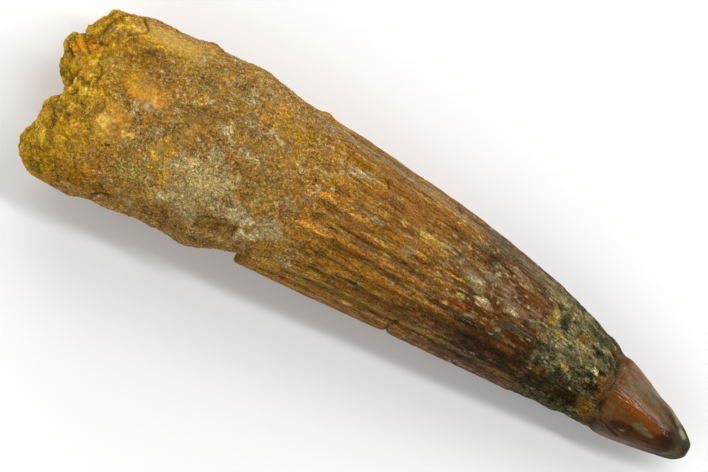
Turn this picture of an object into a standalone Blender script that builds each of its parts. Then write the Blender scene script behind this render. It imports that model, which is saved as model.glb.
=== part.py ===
"""A fossil tooth of a large fish-eating dinosaur, lying on its side, as one solid.

A UV sphere's rings are walked along the tooth, from the broken root to the tip, and its
points are then moved in and out along their normals: the sand crust and lumps of the
root, the ledge where the enamel starts, the flutes of the crown, the worn collar and
crack behind the tip, and the chips. Lengths are in millimetres, and MM turns them into
Blender's metres. +X runs from the broken end to the tip, +Y is the convex edge, +Z is up.
"""

import math
from bisect import bisect_right

import bmesh
import bpy
from mathutils import Vector, noise

MM = 0.001

# Driving dimensions
LENGTH = 104.4
CROWN_START = 36.3  # the ledge of the enamel, from the broken end
FLUTES = 28
SEGMENTS = 3 * FLUTES  # the lines of points that run along the tooth
LEDGE_GAP = 0.4  # between the last ring of the root and the first of the crown
RINGS = (  # (start, end, rings between them), closer where the form changes most
    (0.0, 5.0, 11), (6.4, CROWN_START - LEDGE_GAP / 2, 18),
    (CROWN_START + LEDGE_GAP / 2, 76.0, 13), (78.0, 91.8, 9), (94.2, LENGTH, 8),
)

# The tooth's two edges as seen from above, as (distance from the broken end, Y)
CONVEX_EDGE = (
    (0, 9.0), (4, 11.4), (9, 12.3), (18, 12.7), (27, 13.4), (34, 12.8), (45, 12.3),
    (60, 10.9), (70, 9.4), (80, 7.4), (88, 5.0), (94, 2.8), (98, 1.0), (104.4, -1.6),
)
HOLLOW_EDGE = (
    (0, -12.9), (4, -14.4), (9, -14.7), (16, -13.6), (23, -12.5), (28, -12.4),
    (37, -11.5),
    (53, -10.0), (70, -8.8), (86, -7.5), (93, -7.1), (98, -6.3), (104.4, -5.0),
)
# Its top and its underside as seen from the side, as (distance, Z)
TOP_LINE = (
    (0, 17.8), (5, 20.2), (12, 21.0), (28, 21.0), (36, 20.1), (45, 19.3), (60, 17.4),
    (70, 15.8), (80, 14.0), (88, 12.2), (94, 10.8), (98, 9.7), (104.4, 7.4),
)
UNDERSIDE_LINE = (
    (0, 3.0), (5, 0.9), (11, 0.0), (16, -0.35), (55, -0.35), (64, 0.0), (72, 0.6),
    (80, 1.3), (88, 2.1), (94, 2.7), (98, 3.2), (104.4, 4.2),
)
END_ROUNDING = 3.6  # length of the root's blunt end
END_SQUARENESS = 3.4
TIP_ROUNDING = 3.2  # length of the worn, rounded tip
TIP_SQUARENESS = 2.4

# How far the broken end is set back from the longest lobe, as (Y, distance)
BROKEN_END = ((-13, 1.5), (-9, 1.7), (-5, 2.5), (-1, 2.9), (3, 2.5), (7, 2.5), (11, 2.1))
BREAK_LEAN = 0.12  # the break also runs back under the root, for each millimetre down
BREAK_REACH = 11.0  # the set back fades out this far along the root
BREAK_LUMPS = ((6.0, 0.8), (3.4, 0.6))  # (size of the lumps, height)

# Lobes and hollows of the broken face, as (Y, Z), (radius in Y, radius in Z), length
END_LOBES = {
    "long lobe": ((4.0, 13.6), (2.2, 3.2), 2.4),
    "lobe below it": ((0.6, 12.4), (2.0, 2.8), 1.5),
    "low corner": ((-11.4, 11.5), (2.2, 3.0), 0.5),
    "small lobe": ((-5.4, 14.0), (1.8, 2.6), 0.7),
    "notch between the lobes": ((-2.5, 14.4), (1.6, 3.5), -1.2),
    "notch above the long lobe": ((7.0, 15.5), (1.4, 2.6), -0.5),
    "pulp hollow": ((-1.0, 7.6), (4.4, 2.8), -1.9),
    "lobe beside the hollow": ((7.0, 7.4), (2.6, 2.4), 1.2),
    "lobe under the hollow": ((-4.0, 3.4), (3.0, 1.6), 0.9),
}
LOBE_REACH = 5.0  # the lobes fade out this far along the root

# The sand crust on the root: its edge on the crown, as (angle round, distance)
CRUST_EDGE = (
    (0, 37.6), (45, 42.0), (90, 42.5), (135, 39.5), (180, 36.3), (235, 38.0),
    (290, 41.0), (325, 39.0), (360, 37.6),
)
CRUST_THICKNESS = 0.35
CRUST_FADE = 4.0
CRUST_LUMPS = ((6.0, 0.40), (3.2, 0.34))  # (size of the lumps, height)

# The enamel's ledge, where the root is waisted on the hollow side
LEDGE_DEPTH = 1.45
LEDGE_RUN = 7.0
LEDGE_MIDDLE, LEDGE_SPREAD = 190.0, 42.0  # degrees round the tooth
LEDGE_WANDER, LEDGE_WANDER_REACH = 5.0, 11.0  # its line strays this far to each side

FLUTE_DEPTH = 0.36
FLUTE_FADE_IN = 5.0
FLUTES_END = (74.0, 90.0)  # they fade out between these distances
SMOOTH_EDGE = 16.0  # degrees each side of the two edges that have no flutes
KEEL_HEIGHT, KEEL_SPREAD = 0.25, 9.0

# The worn collar behind the tip and the crack that ends it
COLLAR = (78.5, 90.0)
COLLAR_DEPTH = 0.22
CRACK_AT, CRACK_WIDTH, CRACK_DEPTH = 90.4, 0.9, 0.38

# Single lumps and pits, as (distance, Y, Z), (radius along, radius across), height
SINGLE_FEATURES = {
    "cavity": ((5.2, 5.4, 19.0), (2.0, 1.7), -1.5),
    "pale lump": ((8.6, 2.0, 20.6), (1.8, 1.4), 0.5),
    "shoulder at the end": ((4.8, 9.6, 16.5), (2.8, 2.2), 0.7),
    "crumb on the convex edge": ((19.0, 13.2, 10.6), (1.0, 1.0), 0.6),
    "crumb where the crust ends": ((37.4, 12.7, 10.6), (1.0, 1.0), 0.5),
    "nick in the root's edge": ((14.6, -13.4, 10.0), (0.9, 1.6), -0.5),
    "swelling of the root's edge": ((27.5, -12.6, 9.0), (4.0, 3.0), 0.35),
    "hollow before the crown": ((33.0, -8.6, 16.0), (3.4, 2.4), -0.5),
    "nick in the crown's edge": ((59.2, -9.5, 9.0), (0.9, 1.8), -0.5),
    "pit in the crack, upper": ((89.9, 2.0, 10.6), (0.9, 1.5), -0.7),
    "pit in the crack, lower": ((90.8, -3.9, 11.0), (1.0, 1.3), -0.7),
    "flake scar on the tip": ((97.4, -3.6, 9.6), (2.6, 1.1), -0.25),
    "chip of the tip": ((103.6, -1.8, 7.6), (2.0, 1.4), -0.5),
    "break under the root": ((5.0, -3.0, 1.6), (3.6, 4.0), -0.7),
    "lump under the root": ((9.5, 6.0, 1.4), (2.6, 2.2), 0.5),
}

COLOUR = (0.235, 0.135, 0.043, 1.0)
ROUGHNESS = 0.55


def ease(start, end, at):
    """0 before start, 1 after end, and a smooth step between them."""
    t = min(1.0, max(0.0, (at - start) / (end - start)))
    return t * t * (3 - 2 * t)


def curve_through(points, at):
    """The value at this place of a smooth curve that never overshoots its points."""
    places = [place for place, value in points]
    i = min(len(points) - 2, max(0, bisect_right(places, at) - 1))
    slopes = [
        (points[k + 1][1] - points[k][1]) / (points[k + 1][0] - points[k][0])
        for k in (max(0, i - 1), i, min(len(points) - 2, i + 1))
    ]

    def tangent(a, b):
        return 2 * a * b / (a + b) if a * b > 0 else 0.0

    span = points[i + 1][0] - points[i][0]
    t = min(1.0, max(0.0, (at - points[i][0]) / span))
    leaving = tangent(slopes[0], slopes[1]) * span
    arriving = tangent(slopes[1], slopes[2]) * span
    return (
        points[i][1] * (1 + 2 * t) * (1 - t) ** 2
        + leaving * t * (1 - t) ** 2
        + points[i + 1][1] * t * t * (3 - 2 * t)
        + arriving * t * t * (t - 1)
    )


def fullness(u):
    """The share of its full width that the tooth has here: less in its rounded ends."""
    into_end = max(0.0, 1 - u / END_ROUNDING)
    into_tip = max(0.0, 1 - (LENGTH - u) / TIP_ROUNDING)
    at_end = (1 - min(1.0, into_end) ** END_SQUARENESS) ** (1 / END_SQUARENESS)
    at_tip = (1 - min(1.0, into_tip) ** TIP_SQUARENESS) ** (1 / TIP_SQUARENESS)
    return at_end * at_tip


def even_steps(start, end, count):
    """That many places from start to end, evenly spaced along the tooth's outline."""
    fine = 4000
    places = [start + (end - start) * k / fine for k in range(fine + 1)]
    half_widths = [
        fullness(u) * (curve_through(CONVEX_EDGE, u) - curve_through(HOLLOW_EDGE, u)) / 2
        for u in places
    ]
    run = [0.0]
    for k in range(fine):
        step = math.hypot(places[k + 1] - places[k], half_widths[k + 1] - half_widths[k])
        run.append(run[-1] + step)
    wanted = (run[-1] * k / (count - 1) for k in range(count))
    return [places[min(fine, bisect_right(run, w - 1e-9))] for w in wanted]


def ring_places():
    """The distance of every ring from the broken end, with both poles."""
    return [place for start, end, count in RINGS for place in even_steps(start, end, count)]


def form_point(u, angle):
    """A point of the tooth's smooth form, this far along it and this far round it."""
    u = strayed(u, angle)
    convex, hollow = curve_through(CONVEX_EDGE, u), curve_through(HOLLOW_EDGE, u)
    top, under = curve_through(TOP_LINE, u), curve_through(UNDERSIDE_LINE, u)
    y = (convex + hollow) / 2 + math.cos(angle) * fullness(u) * (convex - hollow) / 2
    z = (top + under) / 2 + math.sin(angle) * fullness(u) * (top - under) / 2
    return Vector((u + set_back(u, y, z), y, z))


def strayed(u, angle):
    """The place of a ring's point, moved so that the ledge's line wanders round the tooth."""

    def wander(at):
        return noise.noise(Vector((math.cos(at), math.sin(at), 0.2)))

    near_ledge = max(0.0, 1 - abs(u - CROWN_START) / LEDGE_WANDER_REACH)
    return u + LEDGE_WANDER * (wander(angle) - wander(math.pi)) * near_ledge


def set_back(u, y, z):
    """How far the broken end lies behind the longest lobe at this height and breadth."""
    middle = (TOP_LINE[0][1] + UNDERSIDE_LINE[0][1]) / 2
    face = Vector((0.0, y, z))
    depth = curve_through(BROKEN_END, y) + BREAK_LEAN * max(0.0, middle - z)
    depth += sum(height * noise.noise(face / size) for size, height in BREAK_LUMPS)
    lobes = sum(
        length * bell(math.hypot((y - at_y) / wide, (z - at_z) / high), 1.0)
        for (at_y, at_z), (wide, high), length in END_LOBES.values()
    )
    return depth * (1 - ease(0.0, BREAK_REACH, u)) - lobes * (1 - ease(0.0, LOBE_REACH, u))


def degrees_from(angle, middle):
    """How far round the tooth an angle lies from another, in degrees, up to 180."""
    return abs((math.degrees(angle) - middle + 180) % 360 - 180)


def bell(distance, spread):
    """1 at no distance, falling smoothly to nothing some three spreads away."""
    return math.exp(-((distance / spread) ** 2))


def crust(point, u, angle):
    """The sandy crust: a thin layer with lumps, which ends on the crown's first part."""
    edge = curve_through(CRUST_EDGE, math.degrees(angle) % 360)
    lumps = sum(height * noise.noise(point / size) for size, height in CRUST_LUMPS)
    return (CRUST_THICKNESS + lumps) * (1 - ease(edge - CRUST_FADE, edge + 0.3, u))


def ledge(u, angle):
    """The waist of the root, deepest just before the enamel starts."""
    if u > CROWN_START:
        return 0.0
    deepening = max(0.0, 1 - (CROWN_START - u) / LEDGE_RUN)
    return -LEDGE_DEPTH * deepening * bell(degrees_from(angle, LEDGE_MIDDLE), LEDGE_SPREAD)


def flutes(u, angle):
    """The crown's long grooves, and the keel that runs along each of its edges."""
    start = curve_through(CRUST_EDGE, math.degrees(angle) % 360) - 1.0
    along = ease(start, start + FLUTE_FADE_IN, u) * (1 - ease(*FLUTES_END, u))
    from_edge = min(degrees_from(angle, 0), degrees_from(angle, 180))
    across = ease(0.4 * SMOOTH_EDGE, SMOOTH_EDGE, from_edge)
    groove = (1 - math.cos(FLUTES * angle)) / 2
    keel = KEEL_HEIGHT * bell(from_edge, KEEL_SPREAD) * ease(CROWN_START, 48, u)
    return keel - FLUTE_DEPTH * groove * along * across


def collar(point, u):
    """The worn ring behind the tip, lower and rougher than the enamel on both sides."""
    start, end = COLLAR
    inside = ease(start - 0.6, start + 0.6, u) * (1 - ease(end - 0.8, end + 0.4, u))
    rough = 0.18 * noise.noise(point / 2.4)
    crack = bell(u + 0.5 * noise.noise(point / 3.0) - CRACK_AT, CRACK_WIDTH)
    return inside * (rough - COLLAR_DEPTH) - CRACK_DEPTH * crack


def single_features(point):
    """The lumps and pits that stand alone, each a soft oval."""
    total = 0.0
    for centre, (along, across), height in SINGLE_FEATURES.values():
        away = point - Vector(centre)
        reach = math.hypot(away.x / along, away.y / across, away.z / across)
        if reach < 3:
            total += height * bell(reach, 1.0)
    return total


def relief(point, u, angle):
    """How far the surface stands above the smooth form at this point."""
    return (
        crust(point, u, angle)
        + ledge(u, angle)
        + flutes(u, angle)
        + collar(point, u)
        + single_features(point)
    )


def tooth_mesh():
    """The tooth as a mesh in metres, its underside on Z = 0 and its box centred on the origin."""
    places = ring_places()
    rows = len(places) - 1
    shape = bmesh.new()
    bmesh.ops.create_uvsphere(shape, u_segments=SEGMENTS, v_segments=rows, radius=1.0)
    around = []
    for vertex in shape.verts:
        row = round((math.pi - math.acos(max(-1.0, min(1.0, vertex.co.z)))) * rows / math.pi)
        u, angle = places[row], math.atan2(vertex.co.y, vertex.co.x) % math.tau
        around.append((u, angle))
        vertex.co = form_point(u, angle)
    shape.normal_update()
    heights = [
        relief(vertex.co, u, angle)
        for vertex, (u, angle) in zip(shape.verts, around, strict=True)
    ]
    for vertex, height in zip(shape.verts, heights, strict=True):
        vertex.co += vertex.normal * height
        vertex.co.z = max(0.0, vertex.co.z)  # the small flat that it rests on
    centre = [
        (min(v.co[k] for v in shape.verts) + max(v.co[k] for v in shape.verts)) / 2
        for k in (0, 1)
    ]
    bmesh.ops.translate(shape, verts=shape.verts, vec=(-centre[0], -centre[1], 0))
    bmesh.ops.scale(shape, verts=shape.verts, vec=(MM, MM, MM))
    bmesh.ops.recalc_face_normals(shape, faces=shape.faces)
    mesh = bpy.data.meshes.new("tooth")
    shape.to_mesh(mesh)
    shape.free()
    mesh.shade_smooth()
    mesh.set_sharp_from_angle(angle=math.radians(50))
    return mesh


def fossil_material():
    """The mean brown of the crown and the root, with the crown's soft gloss."""
    material = bpy.data.materials.new("fossil tooth")
    material.use_nodes = True
    surface = material.node_tree.nodes["Principled BSDF"]
    surface.inputs["Base Color"].default_value = COLOUR
    surface.inputs["Roughness"].default_value = ROUGHNESS
    surface.inputs["Metallic"].default_value = 0.0
    material.diffuse_color = COLOUR
    return material


def main():
    """Clears the scene and puts the tooth in a collection of its own."""
    for old in list(bpy.data.objects):
        bpy.data.objects.remove(old)
    collection = bpy.data.collections.new("spinosaurus_tooth")
    bpy.context.scene.collection.children.link(collection)
    tooth = bpy.data.objects.new("tooth", tooth_mesh())
    tooth.data.materials.append(fossil_material())
    collection.objects.link(tooth)


main()
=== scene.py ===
"""The looks of a fossil tooth on its side: a root under sand crust, and a glossy crown.

Both skins are the CAD solid's own form, worked out again from the same measures at a much
finer step, with what the solid leaves out: the crust's crumbs and pores, the enamel's
wrinkles, the cracks and chips, and loose grains of sand. Lengths are millimetres in the
tooth's own measure: U runs from the broken end to the tip, Y towards the convex edge and
Z up. The pieces are turned into the frame's metres in one place, CadFrame.to_metres.
"""

from __future__ import annotations

import logging
import math
from dataclasses import dataclass, field
from enum import Enum
from typing import Any

import bmesh
import bpy
import numpy as np
from mathutils import Matrix, Vector, noise

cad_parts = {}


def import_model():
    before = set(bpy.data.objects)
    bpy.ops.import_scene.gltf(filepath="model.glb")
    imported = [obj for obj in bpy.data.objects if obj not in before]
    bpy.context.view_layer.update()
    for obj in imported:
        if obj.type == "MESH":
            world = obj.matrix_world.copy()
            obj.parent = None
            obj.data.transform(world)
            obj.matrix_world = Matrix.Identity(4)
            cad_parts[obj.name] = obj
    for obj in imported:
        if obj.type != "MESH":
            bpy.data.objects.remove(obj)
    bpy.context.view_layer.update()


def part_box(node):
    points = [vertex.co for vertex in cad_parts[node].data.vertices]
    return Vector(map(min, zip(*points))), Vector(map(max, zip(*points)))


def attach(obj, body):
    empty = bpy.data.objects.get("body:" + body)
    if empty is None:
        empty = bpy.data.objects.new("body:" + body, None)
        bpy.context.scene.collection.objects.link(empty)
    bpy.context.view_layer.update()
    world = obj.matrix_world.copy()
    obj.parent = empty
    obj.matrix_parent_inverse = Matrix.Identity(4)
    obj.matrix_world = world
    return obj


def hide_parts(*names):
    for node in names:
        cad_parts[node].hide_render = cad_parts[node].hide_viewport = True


LOG = logging.getLogger("fossil_tooth")
MM = 0.001
NODE = "tooth"
BODY = "root"

DULL_SHINE = {"Specular_IOR_Level": 0.07, "Specular_Tint": (1.0, 0.72, 0.36)}

Array = np.ndarray
Knots = tuple[tuple[float, float], ...]
Place = tuple[float, float]
Triple = tuple[float, float, float]


# Small tools for fields of numbers


def ease(start: float | Array, end: float | Array, at: Array) -> Array:
    """0 before start, 1 after end, and a smooth step between them."""
    t = np.clip((at - start) / (end - start), 0.0, 1.0)
    return t * t * (3 - 2 * t)


def plateau(rise: tuple[Any, Any], fall: Place, at: Array) -> Array:
    """0 before the rise, 1 after it and 0 again after the fall, with smooth steps."""
    return ease(*rise, at) * (1 - ease(*fall, at))


def bell(distance: Array, spread: float) -> Array:
    """1 at no distance, falling smoothly to nothing some three spreads away."""
    return np.exp(-((distance / spread) ** 2))


def curve_through(points: Knots, at: Array) -> Array:
    """Reads a smooth curve that never overshoots its points.

    Args:
        points: The curve's points, as (place, value).
        at: The places to read it at.

    Returns:
        The value at each place.
    """
    x, y = np.array(points, dtype=float).T
    slope = np.diff(y) / np.diff(x)
    before, after = np.append(slope[0], slope), np.append(slope, slope[-1])
    same_way = before * after > 0
    tangent = np.where(same_way, 2 * before * after / np.where(same_way, before + after, 1), 0)
    k = np.clip(np.searchsorted(x, at, side="right") - 1, 0, len(x) - 2)
    span = x[k + 1] - x[k]
    t = np.clip((at - x[k]) / span, 0.0, 1.0)
    return (
        y[k] * (1 + 2 * t) * (1 - t) ** 2
        + tangent[k] * span * t * (1 - t) ** 2
        + y[k + 1] * t * t * (3 - 2 * t)
        + tangent[k + 1] * span * t * t * (t - 1)
    )


def degrees_from(angle: Array, middle: float) -> Array:
    """How far round the tooth an angle lies from another, in degrees, up to 180."""
    return np.abs((np.degrees(angle) - middle + 180) % 360 - 180)


def ripple(points: Array, size: float | Array, seed: float = 0.0, octaves: int = 1) -> Array:
    """Smooth noise at each point, between about -1 and 1.

    Args:
        points: One row of three coordinates for each point.
        size: The size of the noise's lumps, one number or one for each axis.
        seed: Moves the noise, so that two fields differ.
        octaves: How many layers, each half the size of the last, are added up.

    Returns:
        One value for each point.
    """
    places = (points / size + seed).tolist()
    if octaves == 1:
        return np.array([noise.noise(place) for place in places])
    return np.array([noise.fractal(place, 1.0, 2.0, octaves) for place in places])


def pebbles(points: Array, size: float, seed: float = 0.0) -> Array:
    """Round-topped lumps packed side by side, from 0 between them to 1 on their tops.

    Args:
        points: One row of three coordinates for each point.
        size: The lumps' size.
        seed: Moves the lumps.

    Returns:
        One value for each point.
    """
    places = (points / size + seed).tolist()
    nearest = np.array([noise.voronoi(place)[0][0] for place in places])
    return 1 - np.clip(nearest / 0.75, 0, 1) ** 2


# Small tools for meshes


def read_threes(items: Any, name: str, kind: type) -> Array:
    """Reads three numbers from each item of one of a mesh's collections.

    Args:
        items: The collection, such as a mesh's vertices.
        name: What to read of each.
        kind: The numbers' type.

    Returns:
        One row of three for each item.
    """
    flat = np.empty(len(items) * 3, dtype=kind)
    items.foreach_get(name, flat)
    return flat.reshape(-1, 3)


def read_points(mesh: bpy.types.Mesh) -> Array:
    """A mesh's points, one row of three coordinates for each."""
    return read_threes(mesh.vertices, "co", np.float32).astype(float)


def write_points(mesh: bpy.types.Mesh, points: Array) -> None:
    """Moves a mesh's points."""
    mesh.vertices.foreach_set("co", points.astype(np.float32).ravel())
    mesh.update()


def write_attribute(mesh: bpy.types.Mesh, name: str, values: Array) -> None:
    """Stores one value, one vector or one colour for each point of a mesh.

    Args:
        mesh: The mesh.
        name: The attribute's name, which the material reads.
        values: One number or one row of three for each point.
    """
    if values.ndim == 1:
        mesh.attributes.new(name, "FLOAT", "POINT").data.foreach_set("value", values)
    elif name == "paint":
        four = np.concatenate((values, np.ones((len(values), 1))), axis=1)
        mesh.attributes.new(name, "FLOAT_COLOR", "POINT").data.foreach_set("color", four.ravel())
    else:
        mesh.attributes.new(name, "FLOAT_VECTOR", "POINT").data.foreach_set(
            "vector", values.ravel()
        )


def hang(name: str, data: bpy.types.ID) -> bpy.types.Object:
    """Makes an object in the scene.

    Args:
        name: Its name.
        data: Its mesh, lamp or camera.

    Returns:
        The object.
    """
    made = bpy.data.objects.new(name, data)
    bpy.context.scene.collection.objects.link(made)
    return made


def hang_mesh(mesh: bpy.types.Mesh) -> bpy.types.Object:
    """Gives a mesh smooth shading and an object in the scene."""
    mesh.shade_smooth()
    return hang(mesh.name, mesh)


# The form of the tooth, as in the CAD source


@dataclass(frozen=True)
class ToothForm:
    """The tooth's smooth form and its main relief, with the CAD source's own measures."""

    length: float = 104.4
    crown_start: float = 36.3
    flutes: int = 28
    convex_edge: Knots = (
        (0, 9.0), (4, 11.4), (9, 12.3), (18, 12.7), (27, 13.4), (34, 12.8), (45, 12.3),
        (60, 10.9), (70, 9.4), (80, 7.4), (88, 5.0), (94, 2.8), (98, 1.0), (104.4, -1.6),
    )
    hollow_edge: Knots = (
        (0, -12.9), (4, -14.4), (9, -14.7), (16, -13.6), (23, -12.5), (28, -12.4),
        (37, -11.5), (53, -10.0), (70, -8.8), (86, -7.5), (93, -7.1), (98, -6.3),
        (104.4, -5.0),
    )
    top_line: Knots = (
        (0, 17.8), (5, 20.2), (12, 21.0), (28, 21.0), (36, 20.1), (45, 19.3), (60, 17.4),
        (70, 15.8), (80, 14.0), (88, 12.2), (94, 10.8), (98, 9.7), (104.4, 7.4),
    )
    underside_line: Knots = (
        (0, 3.0), (5, 0.9), (11, 0.0), (16, -0.35), (55, -0.35), (64, 0.0), (72, 0.6),
        (80, 1.3), (88, 2.1), (94, 2.7), (98, 3.2), (104.4, 4.2),
    )
    end_rounding: tuple[float, float] = (3.6, 3.4)
    tip_rounding: tuple[float, float] = (3.2, 2.4)
    broken_end: Knots = (
        (-13, 1.5), (-9, 1.7), (-5, 2.5), (-1, 2.9), (3, 2.5), (7, 2.5), (11, 2.1),
    )
    break_lean: float = 0.12
    break_reach: float = 11.0
    break_lumps: Knots = ((6.0, 0.8), (3.4, 0.6))
    end_lobes: tuple[tuple[Place, Place, float], ...] = (
        ((4.0, 13.6), (2.2, 3.2), 2.4),
        ((0.6, 12.4), (2.0, 2.8), 1.5),
        ((-11.4, 11.5), (2.2, 3.0), 0.5),
        ((-5.4, 14.0), (1.8, 2.6), 0.7),
        ((-2.5, 14.4), (1.6, 3.5), -1.2),
        ((7.0, 15.5), (1.4, 2.6), -0.5),
        ((-1.0, 7.6), (4.4, 2.8), -1.9),
        ((7.0, 7.4), (2.6, 2.4), 1.2),
        ((-4.0, 3.4), (3.0, 1.6), 0.9),
    )
    lobe_reach: float = 5.0
    crust_edge: Knots = (
        (0, 37.6), (45, 42.0), (90, 42.5), (135, 39.5), (180, 36.3), (235, 38.0),
        (290, 41.0), (325, 39.0), (360, 37.6),
    )
    crust_thickness: float = 0.35
    crust_fade: float = 4.0
    crust_lumps: Knots = ((6.0, 0.40), (3.2, 0.34))
    ledge_depth: float = 1.45
    ledge_run: float = 7.0
    ledge_middle: float = 190.0
    ledge_spread: float = 42.0
    ledge_wander: float = 5.0
    ledge_wander_reach: float = 11.0
    flute_depth: float = 0.36
    flute_fade_in: float = 5.0
    flutes_end: Place = (60.0, 80.0)
    smooth_edge: float = 16.0
    keel_height: float = 0.25
    keel_spread: float = 9.0
    collar_span: Place = (78.5, 90.0)
    collar_depth: float = 0.22
    crack_at: float = 90.4
    crack_width: float = 0.8
    crack_depth: float = 0.38

    def fullness(self, u: Array) -> Array:
        """The share of its full width that the tooth has here: less in its rounded ends.

        Args:
            u: Distances from the broken end.

        Returns:
            The share at each.
        """
        share = np.ones_like(u)
        for inset, (reach, squareness) in (
            (u, self.end_rounding),
            (self.length - u, self.tip_rounding),
        ):
            into = np.clip(1 - inset / reach, 0, 1)
            share = share * (1 - into**squareness) ** (1 / squareness)
        return share

    def strayed(self, u: Array, angle: Array) -> Array:
        """The place of a ring's point, moved so that the ledge's line wanders.

        Args:
            u: Each point's distance from the broken end.
            angle: How far round the tooth it is.

        Returns:
            The moved distances.
        """

        def wander(at: Array) -> Array:
            """Noise round a ring, the same at the start as after a full turn."""
            height = np.full_like(at, 0.2)
            return ripple(np.stack((np.cos(at), np.sin(at), height), axis=1), 1.0)

        near_ledge = np.clip(1 - np.abs(u - self.crown_start) / self.ledge_wander_reach, 0, 1)
        straight = wander(np.array([math.pi]))[0]
        return u + self.ledge_wander * (wander(angle) - straight) * near_ledge

    def set_back(self, u: Array, y: Array, z: Array) -> Array:
        """How far the broken end lies behind its longest lobe.

        Args:
            u: Each point's distance from the broken end.
            y: Its place across.
            z: Its height.

        Returns:
            One value for each point.
        """
        middle = (self.top_line[0][1] + self.underside_line[0][1]) / 2
        face = np.stack((np.zeros_like(y), y, z), axis=1)
        depth = curve_through(self.broken_end, y)
        depth = depth + self.break_lean * np.clip(middle - z, 0, None)
        for size, height in self.break_lumps:
            depth = depth + height * ripple(face, size)
        lobes = np.zeros_like(y)
        for (at_y, at_z), (wide, high), length in self.end_lobes:
            lobes += length * bell(np.hypot((y - at_y) / wide, (z - at_z) / high), 1.0)
        back = depth * (1 - ease(0.0, self.break_reach, u))
        return back - lobes * (1 - ease(0.0, self.lobe_reach, u))

    def outline(self, u: Array) -> tuple[Array, ...]:
        """The convex edge, the hollow edge, the top and the underside at each distance."""
        lines = (self.convex_edge, self.hollow_edge, self.top_line, self.underside_line)
        return tuple(curve_through(line, u) for line in lines)

    def points(self, u: Array, angle: Array, share: Array) -> Array:
        """Points of the smooth form.

        Args:
            u: Each point's distance from the broken end.
            angle: How far round the tooth it is, from the convex edge over the top.
            share: 1 on the skin, less towards the tooth's middle line.

        Returns:
            One row of three coordinates for each point.
        """
        u = self.strayed(u, angle)
        convex, hollow, top, under = self.outline(u)
        full = share * self.fullness(u)
        y = (convex + hollow) / 2 + np.cos(angle) * full * (convex - hollow) / 2
        z = (top + under) / 2 + np.sin(angle) * full * (top - under) / 2
        return np.stack((u + self.set_back(u, y, z), y, z), axis=1)

    def top_height(self, u: float, y: float) -> float:
        """The height of the tooth's upper side at a place seen from above.

        Args:
            u: The distance from the broken end.
            y: The place across.

        Returns:
            The height.
        """
        convex, hollow, top, under = (line[0] for line in self.outline(np.array([u])))
        across = np.clip((y - (convex + hollow) / 2) / ((convex - hollow) / 2), -1, 1)
        return float((top + under) / 2 + math.sqrt(1 - across**2) * (top - under) / 2)

    def crust_line(self, angle: Array) -> Array:
        """The distance at which the sand crust ends, this far round the tooth."""
        return curve_through(self.crust_edge, np.degrees(angle) % 360)

    def ledge(self, u: Array, angle: Array) -> Array:
        """The waist of the root, deepest where the enamel starts."""
        deepening = np.clip(1 - (self.crown_start - u) / self.ledge_run, 0, 1)
        return -self.ledge_depth * deepening * bell(
            degrees_from(angle, self.ledge_middle), self.ledge_spread
        )


# Single features of the surface


@dataclass(frozen=True)
class Dent:
    """A soft oval lump, or a pit where its height is less than nothing."""

    centre: Triple
    size: Place
    height: float

    def height_at(self, points: Array) -> Array:
        """How far it lifts each point.

        Args:
            points: One row of three coordinates for each point.

        Returns:
            One value for each point.
        """
        away = points - np.array(self.centre)
        along, across = self.size
        reach = np.sqrt((away[:, 0] / along) ** 2 + (away[:, 1:] ** 2).sum(axis=1) / across**2)
        return self.height * bell(reach, 1.0)


@dataclass(frozen=True)
class Crack:
    """A narrow groove along a line seen from above."""

    line: tuple[Place, ...]
    width: float
    depth: float

    def nearness(self, points: Array) -> Array:
        """1 on the line, falling to 0 beside it, on the tooth's upper side only.

        Args:
            points: One row of three coordinates for each point.

        Returns:
            One value for each point.
        """
        nearest = np.full(len(points), 1e3)
        place = points[:, :2]
        for start, end in zip(self.line[:-1], self.line[1:], strict=True):
            a, b = np.array(start), np.array(end)
            t = np.clip((place - a) @ (b - a) / ((b - a) @ (b - a)), 0, 1)
            away = place - a - t[:, None] * (b - a)
            nearest = np.minimum(nearest, np.sqrt((away**2).sum(axis=1)))
        upper = ease(5.0, 8.0, points[:, 2])
        return bell(nearest, self.width) * upper


def dents(*rows: tuple[float, ...]) -> tuple[Dent, ...]:
    """Reads dents from rows of centre U, Y and Z, size along and across, and height."""
    return tuple(Dent((u, y, z), (along, across), high) for u, y, z, along, across, high in rows)


CAD_DENTS = dents(
    (5.2, 5.4, 19.0, 2.0, 1.7, -1.5), (8.6, 2.0, 20.6, 1.8, 1.4, 0.5),
    (4.8, 9.6, 16.5, 2.8, 2.2, 0.7), (19.0, 13.2, 10.6, 1.0, 1.0, 0.6),
    (37.4, 12.7, 10.6, 1.0, 1.0, 0.5), (14.6, -13.4, 10.0, 0.9, 1.6, -0.5),
    (27.5, -12.6, 9.0, 4.0, 3.0, 0.35), (33.0, -8.6, 16.0, 3.4, 2.4, -0.5),
    (59.2, -9.5, 9.0, 0.9, 1.8, -0.5), (89.9, 2.0, 10.6, 0.9, 1.5, -0.7),
    (90.8, -3.9, 11.0, 1.0, 1.3, -0.7), (97.4, -3.6, 9.6, 2.6, 1.1, -0.25),
    (103.6, -1.8, 7.6, 2.0, 1.4, -0.5), (5.0, -3.0, 1.6, 3.6, 4.0, -0.7),
    (9.5, 6.0, 1.4, 2.6, 2.2, 0.5),
)
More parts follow.
